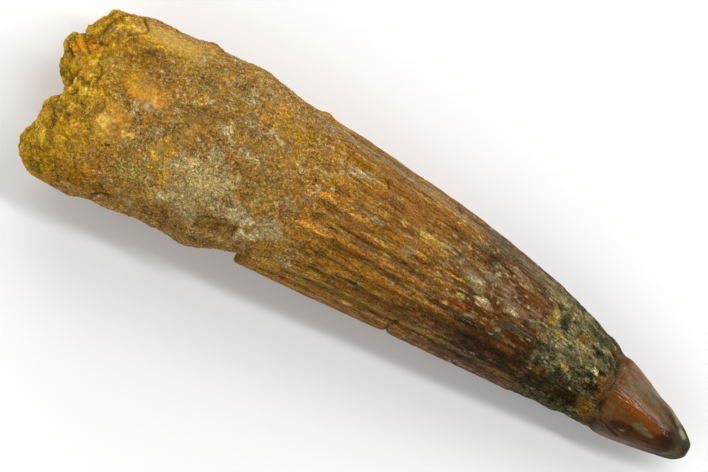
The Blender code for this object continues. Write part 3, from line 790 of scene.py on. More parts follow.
CROWN_GROUND: tuple[tuple[float, Pigment], ...] = (
    (36, P.FAWN), (42, P.HONEY), (50, P.TOFFEE), (58, P.TOFFEE), (65, P.RUSSET),
    (70, P.CHESTNUT), (77.5, P.CHESTNUT), (79.5, P.SLATE), (89, P.SLATE),
    (91, P.RUSSET), (98, P.RUSSET), (101, P.OXBLOOD), (103, P.SLATE),
)
CROWN_STAINS = stains(
    # Broad zones: the rosy band under the convex edge, partly grey dust and partly a painted
    # sheen, and the dark lower side
    (42.0, 11.5, 6.0, 1.1, P.ROSY_GREY, 0.95, -1),
    (52.0, 10.9, 7.0, 1.0, P.ROSY_GREY, 0.95, -3), (61.0, 9.9, 5.0, 0.9, P.ROSY_GREY, 0.8, -5),
    (68.0, 9.0, 4.0, 1.2, P.PEWTER, 0.9, -8), (74.5, 8.0, 4.0, 1.0, P.LEAD, 0.8, -10),
    (52.0, -8.2, 10.0, 0.9, P.OLIVE, 0.8, 2), (67.0, -4.4, 6.0, 1.4, P.SEPIA, 0.8, 3),
    (73.0, -4.4, 5.0, 2.0, P.MAHOGANY, 0.9, 3), (75.6, -5.0, 2.6, 0.8, P.PEAT, 0.95),
    (77.4, -3.0, 1.6, 2.2, P.PEAT, 0.8), (73.0, -6.0, 9.0, 3.0, P.PEAT, 0.85, 3),
    (58.0, -7.4, 8.0, 2.2, P.CHESTNUT, 0.4, 2), (83.4, 2.6, 4.6, 4.2, P.SAGE, 0.55, -12),
    (84.0, -5.0, 5.0, 2.4, P.PEAT, 0.8),
    # Where the crust thins out over the enamel
    (38.6, -4.6, 2.4, 2.2, P.DUST, 0.9), (42.0, -8.0, 1.8, 1.0, P.DUST, 0.8),
    (42.6, -6.2, 1.8, 0.6, P.DRAB, 0.7), (42.4, -4.9, 2.6, 0.3, P.DRAB, 0.6),
    (40.2, -9.4, 2.2, 0.7, P.HAY, 0.5), (37.0, -10.9, 0.7, 0.6, P.AMBER, 0.95),
    (39.6, 6.6, 3.0, 1.6, P.HONEY, 0.7), (40.6, 4.4, 2.4, 1.2, P.APRICOT, 0.5),
    (40.8, -1.0, 1.8, 0.8, P.BRICK, 0.9), (38.6, -2.1, 0.7, 0.6, P.BRICK, 0.9),
    # The upper part of the enamel
    (41.0, 9.4, 5.0, 0.45, P.BRONZE, 0.95, -1), (45.4, 9.1, 2.4, 0.6, P.BRONZE, 0.95, -2),
    (51.0, 8.6, 3.6, 0.9, P.TOFFEE, 0.9, -4), (50.0, 9.4, 4.0, 0.2, P.SAGE, 0.5, -3),
    (53.0, 9.9, 4.0, 0.2, P.RUSSET, 0.6, -4), (56.0, 8.4, 4.4, 0.7, P.TOFFEE, 0.8, -5),
    (56.0, 9.0, 4.0, 0.16, P.MAUVE, 0.8, -5), (45.4, 7.8, 2.4, 0.8, P.DUST, 0.9, 8),
    (46.7, 8.4, 0.9, 0.5, P.DRAB, 0.8), (43.4, 7.0, 1.4, 0.5, P.DUST, 0.6, -35),
    (49.4, 8.0, 0.4, 0.2, P.HAY, 0.8), (44.2, 6.0, 2.0, 0.9, P.HONEY, 0.8),
    (45.8, 4.8, 0.7, 0.9, P.APRICOT, 0.7), (48.4, 5.0, 2.6, 1.1, P.HONEY, 0.7),
    (51.0, 4.7, 0.8, 0.3, P.PEACH, 0.7), (53.0, 5.6, 3.2, 0.8, P.TOFFEE, 0.8),
    (51.0, 7.3, 4.0, 0.25, P.ROSY_GREY, 0.6, -4), (53.6, 6.6, 3.4, 0.35, P.RUST, 0.6, -4),
    (51.5, 6.2, 4.0, 0.2, P.SEPIA, 0.6, -3), (50.0, 5.8, 3.0, 0.16, P.BRICK, 0.8, -2),
    (57.9, 4.6, 1.6, 0.5, P.PEACH, 0.9), (54.2, 4.8, 0.5, 0.3, P.PEACH, 0.8),
    (54.6, 4.0, 3.0, 0.3, P.SEPIA, 0.6), (55.0, 3.6, 4.0, 0.2, P.ROSY_GREY, 0.6),
    (46.1, 3.3, 0.8, 0.2, P.PEACH, 0.7), (47.6, 3.6, 1.6, 0.4, P.MAUVE, 0.6),
    (50.3, 3.2, 1.1, 0.5, P.SAGE, 0.9),
    # Golden ridges and dark furrows: partly the enamel's streaks, partly painted light on the
    # flutes' crests and painted shade in their grooves
    (42.6, 2.8, 2.2, 0.6, P.CARAMEL, 0.8), (49.0, 2.35, 8.0, 0.36, P.CARAMEL, 1.0),
    (58.5, 2.1, 4.6, 0.27, P.CARAMEL, 1.0), (64.0, 1.9, 3.4, 0.25, P.CARAMEL, 0.8),
    (56.6, 1.9, 1.1, 0.7, P.SAGE, 0.7), (45.4, 1.5, 3.6, 0.5, P.SYRUP, 1.0),
    (51.0, 1.5, 4.0, 0.25, P.SYRUP, 0.7), (48.6, 0.8, 5.4, 0.35, P.TOFFEE, 0.8),
    (52.4, 0.8, 0.9, 0.3, P.PEACH, 0.9), (57.0, 0.9, 4.0, 0.3, P.MAUVE, 0.5),
    (48.0, -0.3, 8.0, 0.32, P.CARAMEL, 1.0), (56.6, -0.1, 5.0, 0.22, P.CARAMEL, 0.8, 1),
    (46.0, -1.1, 6.0, 0.42, P.BRICK, 0.85), (50.4, -0.8, 5.0, 0.12, P.SYRUP, 0.8, 1),
    (54.0, -1.3, 6.0, 0.3, P.TOFFEE, 0.8, 1), (43.8, -2.05, 2.4, 0.32, P.CARAMEL, 1.0),
    (47.0, -2.0, 0.5, 0.4, P.SEPIA, 0.8), (51.4, -2.15, 5.0, 0.4, P.SYRUP, 0.9, 1),
    (58.6, -2.1, 4.0, 0.35, P.TOFFEE, 0.8, 1), (45.4, -2.75, 3.2, 0.15, P.SEPIA, 0.9),
    (46.4, -3.15, 2.6, 0.25, P.HONEY, 0.9), (54.6, -2.9, 6.0, 0.24, P.HONEY, 0.9, 1),
    (49.8, -3.5, 1.8, 0.25, P.RUST, 0.9), (50.0, -3.6, 1.2, 0.14, P.MAHOGANY, 0.7),
    (45.9, -3.8, 1.8, 0.42, P.OLIVE, 0.9), (46.2, -4.1, 1.2, 0.2, P.SLATE, 0.8),
    (44.0, -4.4, 2.4, 0.35, P.RUSSET, 0.7), (54.4, -4.1, 3.4, 0.4, P.BRONZE, 0.9, 1),
    (53.8, -4.2, 0.5, 0.16, P.PEACH, 0.9), (58.4, -4.3, 3.2, 0.5, P.RUST, 0.8, 1),
    (49.4, -4.6, 4.0, 0.16, P.CHESTNUT, 0.8), (48.8, -5.25, 3.8, 0.42, P.AMBER, 1.0),
    (55.4, -5.05, 4.0, 0.32, P.BRONZE, 0.9, 1), (50.8, -6.0, 6.0, 0.22, P.SEPIA, 0.95, 1),
    (52.4, -5.9, 1.8, 0.3, P.CHARCOAL, 0.7), (59.4, -5.65, 6.0, 0.36, P.MAHOGANY, 0.9, 2),
    (48.0, -6.8, 4.4, 0.5, P.SYRUP, 0.9), (46.6, -7.5, 2.4, 0.4, P.MOSS, 0.6),
    (54.4, -6.7, 5.0, 0.3, P.TOFFEE, 0.9, 1), (49.4, -7.9, 5.0, 0.15, P.ROSY_GREY, 0.5, 2),
    (56.0, -7.3, 5.0, 0.15, P.ROSY_GREY, 0.5, 2), (49.0, -9.2, 5.0, 0.4, P.BRONZE, 0.8, 3),
    (52.6, -8.9, 1.4, 0.25, P.PEACH, 0.8), (55.3, -9.0, 0.6, 0.35, P.PEACH, 0.9),
    (44.0, -10.2, 5.0, 0.6, P.COCOA, 0.8, 3),
    # From the middle of the enamel to its worn end
    (61.0, 8.6, 3.8, 0.5, P.TOFFEE, 0.7, -6), (60.9, 8.9, 0.2, 0.7, P.PEACH, 0.8, 10),
    (61.4, 7.55, 2.8, 0.28, P.PEAT, 0.9, -3), (65.6, 7.4, 2.4, 0.5, P.PEWTER, 0.7, -6),
    (68.3, 6.7, 1.9, 0.4, P.CHARCOAL, 1.0, -8), (61.4, 5.0, 0.35, 1.3, P.SAGE, 0.8, -30),
    (62.5, 6.0, 3.6, 0.4, P.TOFFEE, 0.8, -4), (65.4, 5.5, 3.4, 0.3, P.RUST, 0.6, -4),
    (63.6, 4.4, 2.4, 0.5, P.PEWTER, 0.6), (61.0, 3.6, 4.0, 0.14, P.PEACH, 0.5),
    (63.0, 2.9, 3.0, 0.45, P.RUST, 0.6), (62.6, 2.8, 0.3, 0.25, P.HAY, 0.9),
    (59.8, 1.4, 4.0, 0.35, P.RUST, 0.8), (65.0, 1.3, 3.0, 0.4, P.RUST, 0.8),
    (63.8, 0.9, 0.6, 0.35, P.LEAD, 0.8), (62.5, 0.35, 5.0, 0.2, P.CARAMEL, 0.6),
    (62.0, -0.5, 4.0, 0.4, P.RUSSET, 0.7), (65.9, -0.2, 0.45, 0.7, P.PEACH, 0.85, -35),
    (66.5, -0.1, 0.2, 0.5, P.HAY, 0.9), (64.3, -1.9, 0.4, 0.4, P.PEACH, 1.0),
    (66.0, -1.2, 2.6, 0.35, P.RUST, 0.95), (61.6, -1.8, 2.0, 0.4, P.MAUVE, 0.6),
    (60.4, -2.7, 2.4, 0.3, P.HONEY, 0.6), (61.4, -3.3, 0.6, 0.3, P.HAY, 0.7),
    (67.8, -2.55, 3.8, 0.25, P.SLATE, 0.9), (69.0, -3.05, 5.0, 0.3, P.PEAT, 0.95, 1),
    (63.0, -3.8, 4.0, 0.4, P.SYRUP, 0.7, 1), (62.3, -4.6, 1.2, 0.4, P.CHARCOAL, 0.6),
    (65.0, -4.95, 5.0, 0.16, P.PEAT, 0.9, 1), (67.0, -6.15, 6.0, 0.16, P.HAY, 0.6, 2),
    (71.0, -6.2, 1.5, 0.13, P.CHALK, 0.9), (64.0, -7.1, 6.0, 0.4, P.COCOA, 0.7, 2),
    (70.0, -6.8, 4.4, 0.4, P.PEWTER, 0.6, 3), (75.4, -6.9, 3.0, 0.5, P.COCOA, 0.6, 3),
    (65.0, -8.2, 5.0, 0.4, P.CHESTNUT, 0.8, 2), (71.0, -7.8, 3.0, 0.35, P.CHESTNUT, 0.8, 3),
    (66.5, 3.0, 1.7, 0.7, P.SAGE, 1.0), (66.6, 3.0, 1.2, 0.4, P.CHALK, 0.5),
    (68.7, 4.3, 1.3, 0.7, P.LEAD, 0.95), (68.0, 2.0, 1.4, 0.5, P.SAGE, 0.8),
    (68.8, 1.0, 1.1, 0.5, P.CHALK, 1.0), (69.7, 0.4, 1.2, 0.4, P.ROSY_GREY, 0.9),
    (69.3, 2.4, 0.45, 0.45, P.RUST, 1.0), (66.4, 5.0, 0.8, 0.3, P.SAGE, 0.7),
    (71.4, 4.0, 1.7, 1.0, P.MAUVE, 0.9), (72.4, 2.5, 1.8, 0.9, P.MAUVE, 0.95),
    (73.3, 1.6, 1.1, 0.5, P.CHALK, 0.6), (72.0, 6.6, 3.2, 0.5, P.MAUVE, 0.8, -8),
    (72.4, 7.4, 4.0, 0.4, P.PEWTER, 0.7, -8), (74.0, 5.6, 3.0, 0.5, P.MAUVE, 0.7, -8),
    (75.8, 4.6, 2.0, 0.7, P.RUSSET, 0.95, -5), (76.2, 3.2, 1.6, 0.6, P.MAUVE, 0.8),
    (75.0, 1.9, 1.8, 0.5, P.MAUVE, 0.7), (77.2, 6.6, 1.4, 0.8, P.SAGE, 0.6, -15),
    (74.4, 0.9, 1.0, 0.3, P.RUST, 0.8), (77.0, 1.4, 1.2, 0.5, P.LEAD, 0.6),
    (75.4, -0.2, 2.6, 0.6, P.SLATE, 1.0), (73.6, -0.7, 0.9, 0.5, P.SLATE, 0.8),
    (72.6, -2.2, 1.0, 0.7, P.SLATE, 0.95), (71.0, -1.7, 1.3, 0.5, P.RUST, 0.9),
    (69.4, -0.8, 1.8, 0.5, P.SEPIA, 0.8), (68.3, -1.9, 0.8, 0.4, P.LEAD, 0.7),
    (72.2, 0.4, 1.2, 0.5, P.SEPIA, 0.8), (75.4, -1.6, 1.8, 0.6, P.MAHOGANY, 0.95),
    (74.6, -3.3, 2.2, 0.5, P.RUSSET, 0.5), (78.0, -5.0, 1.4, 0.25, P.RUSSET, 0.6, 12),
    (78.6, -6.0, 1.2, 0.3, P.PEAT, 0.8),
    # The worn collar
    (78.9, 3.5, 0.6, 1.7, P.MOSS, 0.85, 2), (79.1, 3.6, 0.3, 1.3, P.SAND, 0.6, 2),
    (79.0, 0.9, 0.5, 1.0, P.HAY, 0.6), (79.0, -0.9, 1.0, 0.5, P.CHARCOAL, 0.9),
    (79.4, 6.5, 1.6, 0.7, P.SAGE, 0.9, -15), (81.6, 6.2, 1.8, 0.4, P.SAGE, 0.9, -15),
    (83.6, 5.8, 1.4, 0.3, P.SAGE, 0.9, -22), (80.4, 4.3, 1.0, 1.1, P.CHARCOAL, 0.8),
    (82.2, 4.4, 1.2, 0.5, P.CHARCOAL, 0.7), (81.7, 4.1, 0.4, 0.25, P.CHALK, 0.8),
    (84.0, 3.7, 1.2, 0.9, P.UMBER, 0.8), (83.7, 3.0, 0.6, 0.4, P.BRONZE, 0.6),
    (80.7, 2.2, 0.9, 0.5, P.HAY, 0.7), (84.4, 2.0, 1.7, 0.6, P.SAND, 0.8, -15),
    (86.0, 1.6, 1.4, 0.5, P.SAGE, 0.8, -15), (81.0, 3.3, 0.8, 0.5, P.CHARCOAL, 0.7),
    (81.4, 1.2, 1.8, 0.5, P.SAGE, 1.0), (82.2, 0.1, 2.6, 0.5, P.SLATE, 0.8),
    (84.8, 0.6, 1.4, 0.45, P.LEAD, 1.0), (84.9, 0.6, 0.7, 0.25, P.CHALK, 0.6),
    (86.6, 2.6, 1.3, 0.5, P.CHARCOAL, 0.95, -15), (87.5, 3.5, 1.3, 0.4, P.SAGE, 0.9, -25),
    (88.3, 1.9, 0.8, 0.4, P.CHARCOAL, 0.8), (85.6, 4.7, 2.4, 0.7, P.SLATE, 0.9, -22),
    (88.6, 3.6, 1.0, 0.4, P.SEPIA, 0.8, -25), (88.4, 1.0, 1.2, 0.5, P.LEAD, 0.8),
    (83.7, -1.5, 1.2, 0.45, P.HAY, 0.7), (81.8, -1.1, 1.6, 0.5, P.LEAD, 0.6),
    (85.6, -1.3, 1.6, 0.5, P.CHARCOAL, 0.8), (87.2, -0.8, 0.8, 0.5, P.CHARCOAL, 0.95),
    (84.4, -2.4, 3.0, 0.5, P.CHARCOAL, 0.6), (80.7, -3.6, 1.4, 0.9, P.UMBER, 0.8),
    (81.2, -5.3, 2.0, 0.9, P.CHARCOAL, 1.0), (84.4, -3.8, 2.6, 1.0, P.CHARCOAL, 0.85),
    (86.4, -4.9, 1.9, 1.2, P.PEAT, 0.9), (85.7, -3.6, 0.4, 0.14, P.CHALK, 0.95),
    (83.6, -6.6, 3.4, 0.5, P.SLATE, 0.8), (88.2, -2.0, 1.1, 0.8, P.PEAT, 1.0),
    # the chalk dot in this row is a painted glint
    (88.6, -0.3, 1.1, 0.5, P.RUSSET, 0.9), (87.7, 0.0, 0.4, 0.25, P.CHALK, 0.9),
    (89.6, -1.0, 0.7, 0.7, P.RUSSET, 0.9), (89.3, -3.2, 0.7, 0.9, P.RUSSET, 0.8),
    (88.5, -4.6, 1.2, 1.3, P.BRONZE, 0.65), (89.3, -5.8, 0.9, 0.9, P.BRONZE, 0.7),
    # The tip. The mauve and lead washes on its upper half are partly its colour and partly a
    # painted sheen.
    (93.8, 3.0, 2.8, 0.6, P.BRICK, 0.8, -24), (93.6, 1.5, 2.6, 0.9, P.MAUVE, 0.8, -22),
    (93.6, 1.2, 2.8, 1.3, P.LEAD, 0.45, -22), (96.4, 1.0, 3.0, 0.7, P.MAUVE, 0.7, -24),
    (96.6, 0.6, 3.2, 0.8, P.LEAD, 0.5, -24), (92.6, 2.0, 1.0, 0.3, P.RUST, 0.7, -20),
    # painted highlight along the crest: the rosy grey strokes in this row and the next
    (94.4, -0.4, 2.8, 0.4, P.ROSY_GREY, 0.6, -12),
    (98.4, -1.5, 3.0, 0.4, P.ROSY_GREY, 0.6, -14),
    (94.6, -1.8, 3.6, 0.7, P.DEEP_AMBER, 1.0, -8),
    (98.0, -2.6, 2.8, 0.5, P.DEEP_AMBER, 0.9, -14), (94.0, -3.2, 3.0, 0.6, P.RUST, 0.9, -4),
    (93.2, -3.1, 2.0, 0.9, P.RUSSET, 0.9), (94.8, -4.8, 3.4, 0.9, P.MAHOGANY, 0.95, 3),
    (98.6, -4.9, 2.4, 0.6, P.CHESTNUT, 0.9, 10), (100.9, -3.6, 1.5, 0.8, P.OXBLOOD, 1.0),
    (97.6, -3.8, 1.9, 0.55, P.LEAD, 1.0, -10), (96.7, -3.2, 0.6, 0.3, P.LEAD, 0.9, 35),
    (99.0, -4.2, 0.7, 0.15, P.DUST, 0.8, -14), (97.6, 0.9, 2.2, 0.35, P.SLATE, 0.9, -24),
    (98.0, 1.1, 2.6, 0.3, P.SAGE, 0.95, -25), (100.6, -0.1, 1.8, 0.4, P.SAGE, 0.95, -28),
    (101.4, -1.6, 1.0, 0.3, P.SLATE, 0.8, -35), (102.9, -2.9, 1.4, 0.7, P.SLATE, 1.0, -14),
    (102.9, -1.5, 0.9, 0.6, P.CHALK, 0.9, -25), (102.8, -1.6, 0.6, 0.4, P.PEACH, 0.5, -25),
    (103.6, -4.0, 0.9, 0.6, P.OLIVE, 0.9), (102.4, -4.8, 1.2, 0.3, P.LEAD, 0.9, 20),
    (93.2, -5.9, 1.7, 0.15, P.CHALK, 1.0, -5), (95.2, -6.1, 0.5, 0.3, P.SAGE, 0.9),
    # the broad oxblood wash first in this row darkens the tip's lower side: partly its deeper
    # colour, partly painted shade
    (96.0, -5.2, 6.0, 1.3, P.OXBLOOD, 0.5, 6), (94.0, -6.1, 4.0, 0.9, P.MAHOGANY, 0.8, 3),
    (94.9, -5.3, 0.35, 0.25, P.HAY, 0.9), (92.0, -6.4, 1.0, 0.3, P.SEPIA, 0.9),
    (90.9, -5.3, 0.35, 0.6, P.SAGE, 0.95), (90.8, 0.2, 0.4, 0.9, P.LEAD, 0.8),
    (90.9, -1.0, 0.3, 0.5, P.SAGE, 0.9), (90.9, 2.7, 0.3, 0.5, P.SAGE, 0.9),
    (90.3, 2.0, 0.4, 1.1, P.SLATE, 1.0), (90.8, -3.8, 0.45, 0.9, P.CHARCOAL, 1.0),
)


# The skins


@dataclass
class Skin:
    """A closed skin of the tooth: a grid bent round, whose rows are rings."""

    form: ToothForm
    name: str
    segments: int
    mesh: bpy.types.Mesh = field(init=False)
    u: Array = field(init=False)
    angle: Array = field(init=False)
    share: Array = field(init=False)
    smooth: Array = field(init=False)
    skin: Array = field(init=False)

    def rings(self) -> list[Place]:
        """Each ring's distance from the broken end, and its share of the full width."""
        raise NotImplementedError

    def relief(self) -> Array:
        """How far the surface stands above the smooth form at each point."""
        raise NotImplementedError

    def flat_height(self) -> Array:
        """How high the flat that the tooth rests on is at each point."""
        return np.zeros(len(self.u))

    def even_rings(self, start: float, end: float, count: int) -> list[Place]:
        """Full-width rings, evenly spaced along the tooth's outline.

        Args:
            start: The first ring's distance from the broken end.
            end: The last ring's.
            count: How many rings there are.

        Returns:
            The rings, as (distance, share of the full width).
        """
        places = np.linspace(start, end, 4001)
        breadth = curve_through(self.form.convex_edge, places)
        breadth -= curve_through(self.form.hollow_edge, places)
        half = self.form.fullness(places) * breadth / 2
        run = np.append(0.0, np.cumsum(np.hypot(np.diff(places), np.diff(half))))
        wanted = np.linspace(0.0, run[-1], count)
        return [(float(u), 1.0) for u in np.interp(wanted, run, places)]

    def wrap_grid(self) -> None:
        """Makes the mesh: a grid bent into a ball, closed along its seam and poles."""
        rings = self.rings()
        rows = len(rings) - 1
        shape = bmesh.new()
        bmesh.ops.create_grid(shape, x_segments=rows, y_segments=self.segments, size=1.0)
        rim = []
        for vertex in shape.verts:
            row = round((vertex.co.x + 1) / 2 * rows)
            column = round((vertex.co.y + 1) / 2 * self.segments)
            if row in (0, rows) or column in (0, self.segments):
                rim.append(vertex)
            up, round_it = math.pi * row / rows, math.tau * column / self.segments
            vertex.co = (
                math.sin(up) * math.cos(round_it),
                math.sin(up) * math.sin(round_it),
                -math.cos(up),
            )
        bmesh.ops.remove_doubles(shape, verts=rim, dist=1e-6)
        bmesh.ops.recalc_face_normals(shape, faces=shape.faces)
        self.mesh = bpy.data.meshes.new(self.name)
        shape.to_mesh(self.mesh)
        shape.free()
        ball = read_points(self.mesh)
        row = np.rint((math.pi - np.arccos(np.clip(ball[:, 2], -1, 1))) * rows / math.pi)
        self.u, self.share = np.array(rings)[row.astype(int)].T
        self.angle = np.arctan2(ball[:, 1], ball[:, 0]) % math.tau

    def normals(self) -> Array:
        """The mesh's vertex normals, one row for each point."""
        return read_threes(self.mesh.vertex_normals, "vector", np.float32).astype(float)

    def shape_skin(self) -> None:
        """Lays the grid on the tooth's form and raises the relief on it."""
        self.wrap_grid()
        self.smooth = self.form.points(self.u, self.angle, self.share)
        write_points(self.mesh, self.smooth)
        self.skin = self.smooth + self.relief()[:, None] * self.normals()
        self.skin[:, 2] = np.maximum(self.skin[:, 2], self.flat_height())
        write_points(self.mesh, self.skin)

    def flow(self) -> Array:
        """Coordinates that follow the enamel's growth: round the tooth, and along it."""
        girth = 9.0
        return np.stack(
            (girth * np.cos(self.angle), girth * np.sin(self.angle), self.u), axis=1
        )

    def finish_mesh(self, frame: CadFrame) -> bpy.types.Object:
        """Turns the skin into the frame's metres and gives it an object."""
        write_points(self.mesh, frame.to_metres(self.skin))
        return hang_mesh(self.mesh)


@dataclass
class RootSkin(Skin):
    """The root and its sand crust, which thins out over the first of the enamel."""

    name: str = "crusted_root"
    segments: int = 460
    ring_count: int = 206
    tail: float = 44.0
    sunk: float = 0.7
    waist: float = 1.15
    end_inset: float = 0.4
    broken_span: Place = (4.0, 11.0)
    fold_size: float = 2.6
    clod_size: float = 1.9
    crumb_size: float = 0.8
    clod_height: Place = (0.08, 0.26)  # everywhere, and how much more on the broken end
    crumb_height: Place = (0.10, 0.16)
    pebble_middle: float = 0.55
    crack_reach: float = 0.16
    crack_height: float = 0.05
    pore_size: float = 0.75
    pore_depth: float = 0.30
    grain_height: float = 0.12
    smooth_patches: tuple[tuple[Place, Place], ...] = (
        ((14.0, 10.6), (6.4, 1.7)),
        ((13.6, 3.0), (3.2, 1.9)),
        ((2.4, 4.6), (1.7, 1.9)),
        ((12.0, -3.8), (2.2, 2.0)),
        ((12.2, -1.2), (2.2, 0.8)),
        ((9.6, 9.4), (1.2, 0.8)),
    )
    crumb: Array = field(init=False)
    # painted shade in the gaps between the lumps, kept for the painter
    gap_shade: Array = field(init=False)

    def rings(self) -> list[Place]:
        """Rings from the broken end to a blunt tail that is hidden inside the crown.

        Returns:
            The rings, as (distance, share of the full width).
        """
        full = self.even_rings(0.0, self.tail, self.ring_count)
        tail = [(self.tail + 0.3, 0.9), (self.tail + 0.6, 0.6), (self.tail + 0.8, 0.3)]
        return [*full, *tail, (self.tail + 0.9, 0.0)]

    def smoothness(self) -> Array:
        """1 on the patches where the crust is worn smooth, 0 where it is grainy.

        Returns:
            One value for each point.
        """
        total = np.zeros(len(self.u))
        for place, size in self.smooth_patches:
            patch = Stain(place, size, P.TAN, 1.0)
            total = np.maximum(total, patch.mask(self.smooth, self.form))
        return total

    def edge_distance(self) -> Array:
        """How far each point lies inside the crust's ragged edge."""
        line = self.form.crust_line(self.angle)
        return line - self.u + 1.3 * ripple(self.smooth, 2.2, 3.1, 3)

    def relief(self) -> Array:
        """The crust's thickness, lumps, crumbs, pores and cracks, and the root's waist; it also
        keeps the gaps between the lumps, where shade is painted.

        Returns:
            One value for each point.
        """
        form, points = self.form, self.smooth
        inside = self.edge_distance()
        grain = 1 - 0.85 * self.smoothness()
        broken = 1 - ease(*self.broken_span, self.u)
        lumps = sum(height * ripple(points, size) for size, height in form.crust_lumps)
        folds = ripple(points, self.fold_size, 14.0, 2)
        clods = pebbles(points + 0.5 * folds[:, None], self.clod_size, 5.0)
        crumbs = pebbles(points, self.crumb_size, 2.0)
        valleys = np.abs(ripple(points, 1.6, 33.0, 2))
        cracks = -np.clip(self.crack_reach - valleys, 0, None) / self.crack_reach
        pores = -np.clip(ripple(points, self.pore_size, 21.0) - 0.3, 0, None)
        # painted shade: darker in the narrow gaps between clods and crumbs, most on the broken
        # end
        self.gap_shade = grain * (1 - ease(0.05, 0.40, clods)) * broken
        self.gap_shade += grain * (1 - ease(0.10, 0.45, crumbs)) * (0.20 + 0.20 * broken)
        self.crumb = grain * (
            (clods - self.pebble_middle) * (self.clod_height[0] + self.clod_height[1] * broken)
            + (crumbs - self.pebble_middle)
            * (self.crumb_height[0] + self.crumb_height[1] * broken)
            + cracks * self.crack_height
            + pores * self.pore_depth
            + self.grain_height * ripple(points, 0.7, 9.0, 2)
        ) + 0.05
        cover = ease(-0.6, 1.6 * form.crust_fade, inside)
        height = (form.crust_thickness + lumps) * cover + self.crumb * (0.3 + 0.7 * cover)
        height += self.waist * form.ledge(self.u, self.angle)
        inset = self.end_inset * (1 - ease(0.5, 3.0, self.u))
        height -= self.sunk * ease(-0.2, 1.2, -inside) + inset
        for dent in CAD_DENTS + ROOT_DENTS:
            height += dent.height_at(points)
        for crack in ROOT_CRACKS:
            height -= crack.depth * crack.nearness(points + 0.3 * folds[:, None])
        return height


@dataclass
class CrownSkin(Skin):
    """The enamel, from the ledge over the flutes, the worn collar and the tip."""

    name: str = "enamel_crown"
    segments: int = 400
    ring_count: int = 240
    under_crust: float = 0.08
    crust_end: Place = (45.5, 49.0)
    worn_middle: float = 45.0
    worn_reach: Place = (20.0, 60.0)
    worn_loss: float = 0.65
    sway_size: Triple = (3.0, 3.0, 9.0)
    uneven_size: Triple = (1.6, 1.6, 9.0)
    wrinkle_size: Triple = (0.55, 0.55, 3.2)
    fibre_size: Triple = (0.8, 0.8, 2.6)
    coarse_size: float = 1.1
    pit_size: float = 0.9
    keel_full: float = 48.0
    fresh_tip: Place = (91.0, 92.0)
    end_run: float = 0.8
    end_height: float = 0.4
    wrinkle: Array = field(init=False)

    def rings(self) -> list[Place]:
        """Rings from a wall under the ledge to the tip.

        Returns:
            The rings, as (distance, share of the full width).
        """
        start = self.form.crown_start + 0.05
        wall = [(start, share) for share in (0.0, 0.5, 0.78, 0.88, 0.94, 0.98)]
        return wall + self.even_rings(start + 0.05, self.form.length, self.ring_count)

    def flat_height(self) -> Array:
        """A hair higher where the root's crust lies under the crown, 0 beyond it."""
        return self.under_crust * (1 - ease(*self.crust_end, self.u))

    def flute_wave(self) -> Array:
        """0 on the flutes' crests and 1 in their grooves, not quite evenly spaced."""
        sway = 0.9 * ripple(self.flow(), np.array(self.sway_size), 4.0, 2)
        return (1 - np.cos(self.form.flutes * self.angle + sway)) / 2

    def worn_side(self) -> Array:
        """1 on the upper side towards the convex edge, where the flutes are rubbed down."""
        return 1 - ease(*self.worn_reach, degrees_from(self.angle, self.worn_middle))

    def collar(self) -> Array:
        """1 on the worn collar, 0 elsewhere."""
        first, last = self.form.collar_span
        return plateau((first - 0.6, first + 0.6), (last - 0.8, last + 0.4), self.u)

    def relief(self) -> Array:
        """The keels, flutes, wrinkles, collar, crack and chips.

        Returns:
            One value for each point.
        """
        form, points, u, flow = self.form, self.smooth, self.u, self.flow()
        start = form.crust_line(self.angle) - 1.0
        along = plateau((start, start + form.flute_fade_in), form.flutes_end, u)
        from_edge = np.minimum(degrees_from(self.angle, 0), degrees_from(self.angle, 180))
        across = ease(0.4 * form.smooth_edge, form.smooth_edge, from_edge)
        uneven = 0.8 + 0.9 * ripple(flow, np.array(self.uneven_size), 7.0, 2)
        height = -form.flute_depth * self.flute_wave() * along * across * uneven
        height *= 1 - self.worn_loss * self.worn_side()
        keel = bell(from_edge, form.keel_spread) * ease(form.crown_start, self.keel_full, u)
        height += form.keel_height * keel
        in_collar, tip = self.collar(), ease(*self.fresh_tip, u)
        fine = 1 - np.abs(ripple(flow, np.array(self.wrinkle_size), 2.0, 2)) / 0.35
        coarse = ripple(points, self.coarse_size, 31.0, 3)
        pits = np.clip(ripple(points, self.pit_size, 17.0, 2) - 0.25, 0, None)
        fibres = ripple(flow, np.array(self.fibre_size), 12.0, 3)
        self.wrinkle = (
            fine.clip(-1, 1) * (0.05 - 0.035 * tip)
            + coarse * (0.05 + 0.05 * in_collar - 0.03 * tip)
            + fibres * 0.10 * in_collar
            - pits * (0.15 + 0.45 * in_collar - 0.1 * tip)
        )
        height += self.wrinkle
        height += in_collar * (0.22 * ripple(points, 2.4) - 0.6 * form.collar_depth)
        wander = 0.5 * ripple(points, 3.0)
        height -= form.crack_depth * bell(u + wander - form.crack_at, form.crack_width)
        for dent in CAD_DENTS + CROWN_DENTS:
            height += dent.height_at(points)
        for crack in CROWN_CRACKS:
            height -= crack.depth * crack.nearness(points)
        end = ease(form.length - self.end_run, form.length, u)
        return (height * (1 - end) + self.end_height * end) * (self.share > 0.99)


# The frame


@dataclass(frozen=True)
class CadFrame:
    """Where the CAD solid lies, and the way from the tooth's own measure to it."""

    origin: Triple = (52.256, -0.533, 0.0)
    margin: float = 0.02

    def to_metres(self, points: Array) -> Array:
        """The points in the frame's metres, kept inside the CAD solid's box.

        Args:
            points: Points in the tooth's own measure.

        Returns:
            The points in metres.
        """
        low, high = (np.array(corner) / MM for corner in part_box(NODE))
        inside = np.clip(points - np.array(self.origin), low + self.margin, high - self.margin)
        inside[:, 2] = np.maximum(points[:, 2], 0.0).clip(None, high[2] - self.margin)
        return inside * MM


# Painting


